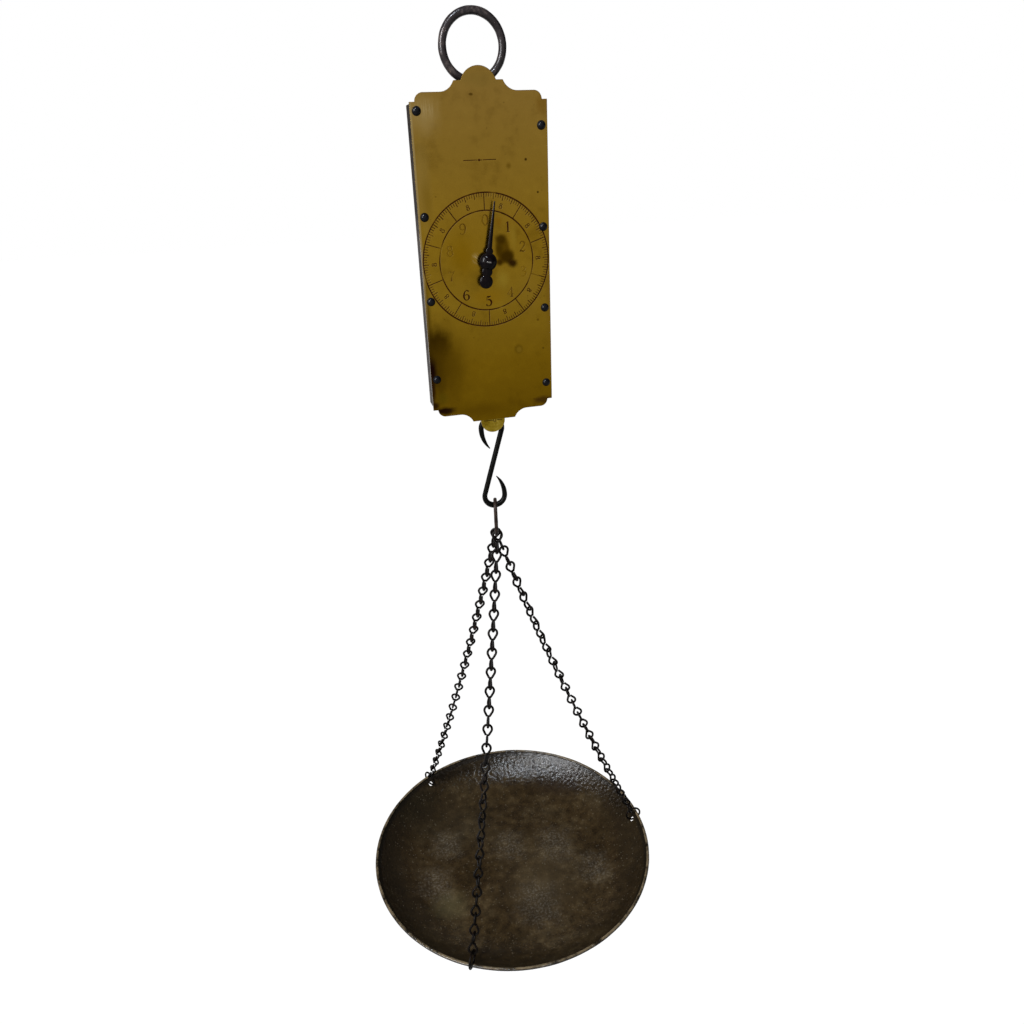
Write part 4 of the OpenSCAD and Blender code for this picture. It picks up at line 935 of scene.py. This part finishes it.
# %% Pointer
pointer_mid, pointer_half, pointer_turn = -16.0, 0.6, 9.3
blade_len, blade_root, blade_tip, blade_ridge = 38.4, 2.0, 0.5, 1.15
tail_len, tail_r, arbor_hole = 13, 2.2, 1.53

def on_pointer(z):
    """A place in metres in the pointer's middle plane, z mm above the hub."""
    return 0, pointer_mid * mm, (dial_z + z) * mm

def squashed_ball(z, radius, thick):
    """A boss z mm above the hub, round from the front and thin from the side."""
    rest()
    bpy.ops.mesh.primitive_uv_sphere_add(segments=40, ring_count=20, radius=radius * mm,
                                         location=on_pointer(z))
    ball = settled()
    squash(ball, (1, thick / radius, 1), on_pointer(z))
    return ball

rest()
bpy.ops.mesh.primitive_cone_add(vertices=4, radius1=blade_root * mm, radius2=blade_tip * mm,
                                depth=blade_len * mm, location=on_pointer(blade_len / 2))
blade = settled()
squash(blade, (1, blade_ridge / blade_root, 1), on_pointer(0))
modify(blade, "BEVEL", width=0.12 * mm, segments=2, limit_method="ANGLE",
       angle_limit=radians(25))
rest()
bpy.ops.mesh.primitive_cylinder_add(vertices=4, radius=tail_r * mm, depth=tail_len * mm,
                                    location=on_pointer(-tail_len / 2))
tail = settled()
squash(tail, (0.77, 0.27, 1), on_pointer(0))
hub_front = [(0, pointer_half), (5.5, pointer_half), (5.9, 0.35), (6.0, 0)]
hub_back = [(r, -y) for r, y in reversed(hub_front[:-1])]
pointer = lathe([(r, pointer_mid + y, dial_z) for r, y in hub_front + hub_back], 56,
                axis=(0, 1, 0), centre=(0, 0, dial_z))
for part in (blade, tail, squashed_ball(6.8, 2.6, 1.0), squashed_ball(-6.5, 3.7, 1.25),
             squashed_ball(-tail_len, 4.65, 1.7)):
    combine(pointer, part, "UNION")
rest()
bpy.ops.mesh.primitive_cylinder_add(vertices=32, radius=arbor_hole * mm, depth=6 * mm,
                                    rotation=(pi / 2, 0, 0), location=on_pointer(0))
combine(pointer, bpy.context.object)
clean(pointer)
turn_about_hub = (Matrix.Translation((0, 0, dial_z * mm))
                  @ Matrix.Rotation(radians(pointer_turn), 4, "Y")
                  @ Matrix.Translation((0, 0, -dial_z * mm)))
pointer.data.transform(turn_about_hub)
round_shading(pointer, 35)
set_in_place(pointer, "pointer_piece", "pointer", pointer_steel, "pointer_steel", "pointer")

# %% [markdown]
# ### The hub nut
# A low dome with a milled slot, screwed on the arbor's end. The dome is turned and the slot is
# cut by a Boolean with a narrow block.

# %% Hub nut
nut_r, nut_h, nut_base = 5.2, 2.6, pointer_mid - pointer_half
thread_r, thread_deep, slot_wide, slot_deep, block = 1.55, 2.1, 0.9, 0.6, 1.8
nut_dome = (nut_r ** 2 + nut_h ** 2) / (2 * nut_h)
nut_a = degrees(asin(nut_r / nut_dome))
outline = [(nut_dome * sin(radians(nut_a * i / 12)), nut_base - nut_h + nut_dome
            - nut_dome * cos(radians(nut_a * i / 12)), dial_z) for i in range(12)]
outline += [(nut_r - 0.05, nut_base - 0.35, dial_z), (nut_r, nut_base - 0.15, dial_z),
            (nut_r, nut_base, dial_z), (thread_r, nut_base, dial_z),
            (thread_r, nut_base - thread_deep, dial_z), (0, nut_base - thread_deep, dial_z)]
nut = lathe(outline, 48, axis=(0, 1, 0), centre=(0, 0, dial_z))
rest()
bpy.ops.mesh.primitive_cube_add(
    size=mm, location=(0, (nut_base - nut_h + slot_deep - block / 2) * mm, dial_z * mm),
    scale=(12, block, slot_wide))
combine(nut, bpy.context.object)
nut.data.transform(turn_about_hub)
round_shading(nut, 35)
set_in_place(nut, "hub_nut_piece", "pointer", pointer_steel, "pointer_steel", "hub_nut")

# %% [markdown]
# ## The chains
# A jack-chain link is one wire: it starts in the waist, goes round the first loop, crosses the
# waist with a quarter turn, goes round the second loop and ends in the waist again. One link is
# bent along that path and copied down each chain. The links hang on a shallow arc from the
# hanger's bend to the ring on the pan, each turned a little from the one above. An Array along a
# curve would bend the links with it, and a stiff wire link never bends.

# %% One link
chain_r, loop_r, link_len, loop_od, crossing_rise = 0.975, 3.575, 20.1, 9.1, 0.35
loop_c = link_len / 2 - loop_od / 2
waist = hypot(chain_r, loop_c)
leg_a = atan2(loop_c, -chain_r) - asin(loop_r / waist)
arc_a = 90 - degrees(leg_a)

def half_link(flip):
    """The wire from the waist round one loop and back, in the plane of that loop."""
    leg = sqrt(waist ** 2 - loop_r ** 2)
    lean = radians(arc_a)
    legs = [(chain_r + sin(lean) * leg * t, 0, cos(lean) * leg * t) for t in (0.1, 0.45, 0.8)]
    round_loop = arc((0, 0, loop_c), loop_r, -arc_a, 180 + arc_a, 20)
    path = legs + round_loop + [(-x, y, z) for x, y, z in reversed(legs)]
    return [(0, x, -z) for x, y, z in path] if flip else path

upper, lower_loop = half_link(False), half_link(True)
crossing = [(chain_r * cos(a), chain_r * sin(a), crossing_rise * cos(2 * a))
            for a in (pi / 8, pi / 4, 3 * pi / 8)]
path = upper[::-1] + crossing + lower_loop
link_piece = bar(path, chain_r - 0.01, sides=10)
print("link", len(link_piece.data.vertices), "corners")

# %% Three chains
tie_top_r, tie_top_h, start_gap, chain_ends = 124.024, 7.965, 1.66, 2.675
chain_step, bow, links = 3.0, 6.5, 22

def chain_places(way, place, last_turn, first_turned):
    """The matrices of one chain's links, from the hanger down to its pan ring."""
    y = place * chain_step
    start = Vector((0, y, hanger_low + hanger_r - sqrt(hanger_r ** 2 - y ** 2)))
    end = Vector((tie_top_r * cos(radians(way)), tie_top_r * sin(radians(way)),
                  pan_z + tie_top_h))
    run = end - start
    flat_run = hypot(run.x, run.y)
    bearing = atan2(run.y, run.x)
    bow_r = (run.length + chain_ends) / (2 * sin(radians(bow / 2)))
    step = radians(bow / links)
    first = asin(flat_run / run.length) - radians(bow / 2)
    base = (Matrix.Translation(start) @ Matrix.Rotation(bearing, 4, "Z")
            @ Matrix.Translation((-start_gap * sin(first), 0, start_gap * cos(first))))
    joints = [Vector((bow_r * (cos(first) - cos(first + i * step)), 0,
                      -bow_r * (sin(first + i * step) - sin(first)))) for i in range(links + 1)]
    for i in range(links):
        tilt = first + (i + 0.5) * step
        face = atan2(-sin(bearing) * cos(tilt), cos(bearing))
        turned = radians(last_turn * max(0, (i - first_turned) / (links - 1 - first_turned)))
        move = (base @ Matrix.Translation((joints[i] + joints[i + 1]) / 2)
                @ Matrix.Rotation(-tilt, 4, "Y") @ Matrix.Rotation(face + turned, 4, "Z"))
        move.translation = move.translation * mm
        yield move

# direction, place on the hanger, turn of the last link, first link turned
chain_rows = {"left": (120, 1, -58, 8), "right": (0, 0, 150, 0), "front": (240, -1, -122, 8)}
ways = [way for way, *_ in chain_rows.values()]
for name, row in chain_rows.items():
    chain = copy_to(twin_of(link_piece), chain_places(*row))
    set_in_place(chain, "chain_%s_piece" % name, "pan_suspension", chain_iron, "chain_iron",
                 "chain_" + name)
bpy.data.objects.remove(link_piece)

# %% [markdown]
# ### The rings on the pan
# Each goes through its hole and round the rim. They are bent from the same wire as the links,
# with a closed joint, so one torus is made, sunk a little here and there, and copied twice.

# %% Pan rings
tie_x, tie_z, tie_r = 126.881, 1.547, 7.025
rest()
bpy.ops.mesh.primitive_torus_add(major_radius=tie_r * mm, minor_radius=(chain_r - 0.01) * mm,
                                 major_segments=64, minor_segments=14, rotation=(pi / 2, 0, 0),
                                 location=(tie_x * mm, 0, (pan_z + tie_z) * mm))
tie = settled()
uneven(tie, 0.04, 3)
ties = copy_to(tie, [Matrix.Rotation(radians(way), 4, "Z") for way in ways])
round_shading(ties, 60)
set_in_place(ties, "pan_rings_piece", "pan_suspension", chain_iron, "chain_iron", "pan_rings")

# %% [markdown]
# ### The pan
# A flat floor, a curved wall and a rolled rim, turned as one outline with the sheet's thickness.
# The three holes are cut square to the wall. Last, a soft noise sinks the surface a little, as
# hammering and years of use have done.

# %% Pan
sheet, floor_r, wall_r, wall_drop, bead = 0.6, 73.5, 74.93, 26.9, 1.5
wall_low, inner_high, outer_high = 1.2, 48.4, 49.6  # degrees along the wall's curve
hole_pos, hole_drop, hole_a, hole_r = 126.0, 5.422, 44.5, 2.2

def wall_points(radius, low, high, steps):
    """Along the wall's curve, from near the floor to near the rim."""
    return [(floor_r + radius * sin(radians(a)), 0, pan_z - wall_drop + wall_r
             - radius * cos(radians(a))) for a in np.linspace(low, high, steps)]

inner_floor = [(r, 0, pan_z - wall_drop + sheet) for r in np.linspace(0, floor_r, 26)]
inner_wall = wall_points(wall_r - sheet, wall_low, inner_high, 34)
rim = arc((pan_reach, 0, pan_z), bead, 205, -118, 22)
outer_wall = wall_points(wall_r + sheet, outer_high, wall_low, 26)
outer_floor = [(r, 0, pan_z - wall_drop - sheet) for r in np.linspace(floor_r, 0, 16)]
pan = lathe(inner_floor + inner_wall + rim + outer_wall + outer_floor, 288)
for way in ways:
    rest()
    bpy.ops.mesh.primitive_cylinder_add(vertices=28, radius=hole_r * mm, depth=6 * mm)
    drill = bpy.context.object
    drill.data.transform(Matrix.Rotation(radians(way), 4, "Z")
                         @ Matrix.Translation((hole_pos * mm, 0, (pan_z - hole_drop) * mm))
                         @ Matrix.Rotation(radians(-hole_a), 4, "Y"))
    combine(pan, drill)
clean(pan, recalculate=False)
uneven(pan, 0.12, 14)
round_shading(pan, 50)
set_in_place(pan, "pan_piece", "pan_suspension", pan_iron, "pan_iron", "pan")

# %% [markdown]
# ## The marks on the dial
# Each mark is its wax: a low rounded ridge that stands a few hundredths of a millimetre out of
# the brass. Circles are flattened tori, and the ticks are copies of one flattened bar, turned
# round the dial. The numerals are drawn with a pen that swells and thins, as an engraver of the
# time would cut them, because a font would look printed.

# %% Circles and ticks
fill_h, outer_r, inner_r = 0.03, 43.4, 32.35

def flatten(obj, y=plate_y):
    """Flattens a mark so that it stands fill_h out of a face at y, in mm."""
    ys = [corner.co.y for corner in obj.data.vertices]
    middle, spread = (min(ys) + max(ys)) / 2, max(ys) - min(ys)
    squash(obj, (1, 2 * fill_h * mm / spread, 1), (0, middle, 0))
    obj.data.transform(Matrix.Translation((0, y * mm - middle, 0)))
    return obj

def circle_mark(radius, width):
    """A flattened ring round the hub."""
    rest()
    bpy.ops.mesh.primitive_torus_add(major_radius=radius * mm, minor_radius=width / 2 * mm,
                                     major_segments=180, minor_segments=8,
                                     rotation=(pi / 2, 0, 0), location=(0, 0, dial_z * mm))
    return flatten(settled())

def ticks(low, high, width, count, skip=()):
    """Lines from radius low to high, count of them round the dial, but for those skipped."""
    one = flatten(bar([(0, 0, low), (0, 0, low + 0.25), (0, 0, high - 0.25), (0, 0, high)],
                      width / 2, [0.6, 1, 1, 0.5], sides=8))
    return copy_to(one, [Matrix.Translation((0, 0, dial_z * mm))
                         @ Matrix.Rotation(2 * pi * i / count, 4, "Y")
                         for i in range(count) if i not in skip])

marks = [circle_mark(outer_r, 1.0), circle_mark(inner_r, 0.95),
         ticks(inner_r, outer_r, 0.7, 10),
         ticks(outer_r - 3.9, outer_r, 0.6, 40, range(0, 40, 4)),
         ticks(outer_r - 2.7, outer_r, 0.48, 160, range(0, 160, 4))]
print("circles and ticks", sum(len(m.data.vertices) for m in marks), "corners")

# %% [markdown]
# A numeral is one or more strokes in a box of height 1. Each row gives a stroke's points as
# x, y and half the pen's width, all in hundredths. A smooth curve is drawn through them.

# %% Numerals
def ring_stroke(x, y, wide, tall):
    """A closed stroke, thick at its sides and thin at top and bottom."""
    return [(x + wide * cos(a), y + tall * sin(a), 3 + 4.5 * abs(cos(a)))
            for a in np.linspace(0, 2 * pi, 17)]

strokes = {
    "0": [ring_stroke(33, 50, 26, 46)],
    "1": [[(33, 97, 6), (33, 50, 7), (33, 3, 6)], [(33, 96, 4), (24, 86, 3), (13, 80, 2)],
          [(14, 2, 2), (33, 3, 3), (52, 2, 2)]],
    "2": [[(16, 74, 7), (12, 84, 4), (24, 96, 3), (40, 96, 4), (56, 82, 7), (54, 62, 7),
           (34, 36, 5), (12, 12, 3), (5, 3, 3)],
          [(5, 3, 3), (20, 11, 6), (38, 5, 7), (52, 5, 5), (62, 22, 2)]],
    "3": [[(14, 84, 7), (22, 95, 4), (38, 97, 4), (53, 82, 7), (46, 62, 5), (26, 54, 3)],
          [(26, 54, 3), (48, 48, 5), (60, 28, 8), (48, 7, 5), (28, 2, 3), (11, 9, 5),
           (13, 20, 7)]],
    "4": [[(50, 97, 3), (28, 62, 3), (3, 29, 3)], [(3, 29, 3), (34, 29, 3), (66, 29, 3)],
          [(49, 97, 4), (49, 50, 7), (49, 3, 6)], [(34, 2, 2), (49, 3, 3), (64, 2, 2)]],
    "5": [[(17, 95, 4), (32, 90, 7), (46, 92, 5), (56, 99, 2)], [(17, 96, 3), (14, 55, 3)],
          [(14, 55, 3), (30, 64, 4), (50, 56, 7), (60, 33, 8), (49, 8, 5), (28, 2, 3),
           (11, 9, 5), (13, 20, 7)]],
    "6": [[(54, 82, 7), (50, 93, 4), (38, 97, 3), (20, 84, 5), (9, 56, 8), (8, 32, 8),
           (18, 8, 5), (34, 2, 3), (52, 11, 6), (59, 30, 8), (50, 50, 5), (34, 56, 3),
           (14, 46, 3)]],
    "7": [[(6, 74, 3), (8, 90, 5), (22, 94, 6), (40, 88, 6), (54, 90, 4), (63, 98, 3)],
          [(63, 98, 3), (46, 66, 4), (34, 38, 6), (30, 3, 8)]],
    "8": [ring_stroke(33, 75, 19, 21), ring_stroke(33, 27, 25, 25)],
}
strokes["9"] = [[(66 - x, 100 - y, w) for x, y, w in strokes["6"][0]]]

def smooth_path(points, steps=5):
    """A Catmull-Rom curve through the points, with steps between each two."""
    rows = np.array([points[0], *points, points[-1]], float)
    path = []
    for a, b, c, d in zip(rows, rows[1:], rows[2:], rows[3:]):
        for t in np.arange(steps) / steps:
            path.append(0.5 * (2 * b + (c - a) * t + (2 * a - 5 * b + 4 * c - d) * t * t
                               + (3 * b - a - 3 * c + d) * t ** 3))
    return path + [rows[-1]]

def numeral(digits, tall, x, z, y=plate_y, turn=0.0, spacing=0.72, bold=1.25):
    """Digits of a height in mm, centred at x and z on a face at y, turned clockwise."""
    parts = []
    for place, digit in enumerate(digits):
        shift = (place - (len(digits) - 1) / 2) * spacing
        for stroke in strokes[digit]:
            path = smooth_path(stroke)
            points = [(((px - 33) / 100 + shift) * tall, 0, (py - 50) / 100 * tall)
                      for px, py, _ in path]
            widest = max(w for *_, w in path)
            parts.append(flatten(bar(points, widest * bold / 100 * tall,
                                     [w / widest for *_, w in path], sides=8), 0))
    obj = join("numeral", *parts)
    obj.data.transform(Matrix.Translation((x * mm, y * mm, z * mm))
                       @ Matrix.Rotation(radians(turn), 4, "Y"))
    return obj

numeral_r, numeral_h, small_r, small_h = 26.4, 6.9, 36.2, 3.5
for i in range(10):
    a = radians(36 * i)
    marks.append(numeral(str(i), numeral_h, numeral_r * sin(a), dial_z + numeral_r * cos(a)))
    a += radians(18)
    marks.append(numeral("8", small_h, small_r * sin(a), dial_z + small_r * cos(a),
                         turn=degrees(a)))
print("marks", len(marks))

# %% [markdown]
# ### The divider and the marks on the tab
# Above the dial stands a plain rule with a small diamond. The tab has a line for each whole turn
# of the pointer, with the pounds that it stands for, so that the lines come out from behind the
# plate one after the other as the load grows.

# %% Divider rule and tab marks
rule_z, rule_end = -65.1, 0.4
for left, right_end in ((-12.6, -4.0), (0.6, 9.4)):
    xs = (left, left + rule_end, right_end - rule_end, right_end)
    marks.append(flatten(bar([(x, 0, rule_z) for x in xs], 0.3, [0.5, 1, 1, 0.5], sides=8)))
for x, tall in ((-2.0, 1.2), (-3.6, 0.5), (-0.3, 0.5)):  # the diamond and a dot on each side
    marks.append(flatten(bar([(x + side * tall, 0, rule_z) for side in (-1, 0, 1)],
                             tall * 0.7, [0.05, 1, 0.05], sides=4)))
dial_marks = join("dial_marks", *marks)
round_shading(dial_marks, 50)

groove_highlight_shift = Vector((0.2, 0.012, -0.16))

def burr(marks_object, name, body, slot):
    """A copy of the marks, sunk a little and moved to the lower right, in light brass: a painted
    highlight on each cut's lit wall.
    """
    twin = twin_of(marks_object)
    pick(twin)
    bpy.ops.transform.translate(value=groove_highlight_shift * mm)
    rest()
    return set_in_place(twin, name, body, groove_highlight_brass, slot)

# painted highlight beside the dial's marks
burr(dial_marks, "dial_groove_highlights", "case", "plate_brass")
set_in_place(dial_marks, "dial_marks", "case", mark_fill, "plate_brass")

tab_y, tab_line, turn_travel = -7.2, -241.9, 12.566
tab_half, label_x, label_h = 6.8, 1.2, 3.2
tab_marks = []
for count in range(4):
    z = tab_line + count * turn_travel
    label = str(10 * count)
    gap = 1.6 + 1.1 * (len(label) - 1)
    for left, right_end in ((-tab_half, label_x - gap), (label_x + gap, tab_half)):
        tab_marks.append(flatten(bar([(left, 0, z), ((left + right_end) / 2, 0, z),
                                      (right_end, 0, z)], 0.26, sides=8), tab_y))
    tab_marks.append(numeral(label, label_h, label_x, z, tab_y))
tab_marks = join("tab_marks", *tab_marks)
round_shading(tab_marks, 50)
# painted highlight beside the tab's marks
burr(tab_marks, "tab_groove_highlights", "drawbar", "tab_brass")
set_in_place(tab_marks, "tab_marks", "drawbar", mark_fill, "tab_brass")

# %% [markdown]
# ## Finish
# The dressed balance has to stay inside the box of the imported model.

# %% Finish
rest()
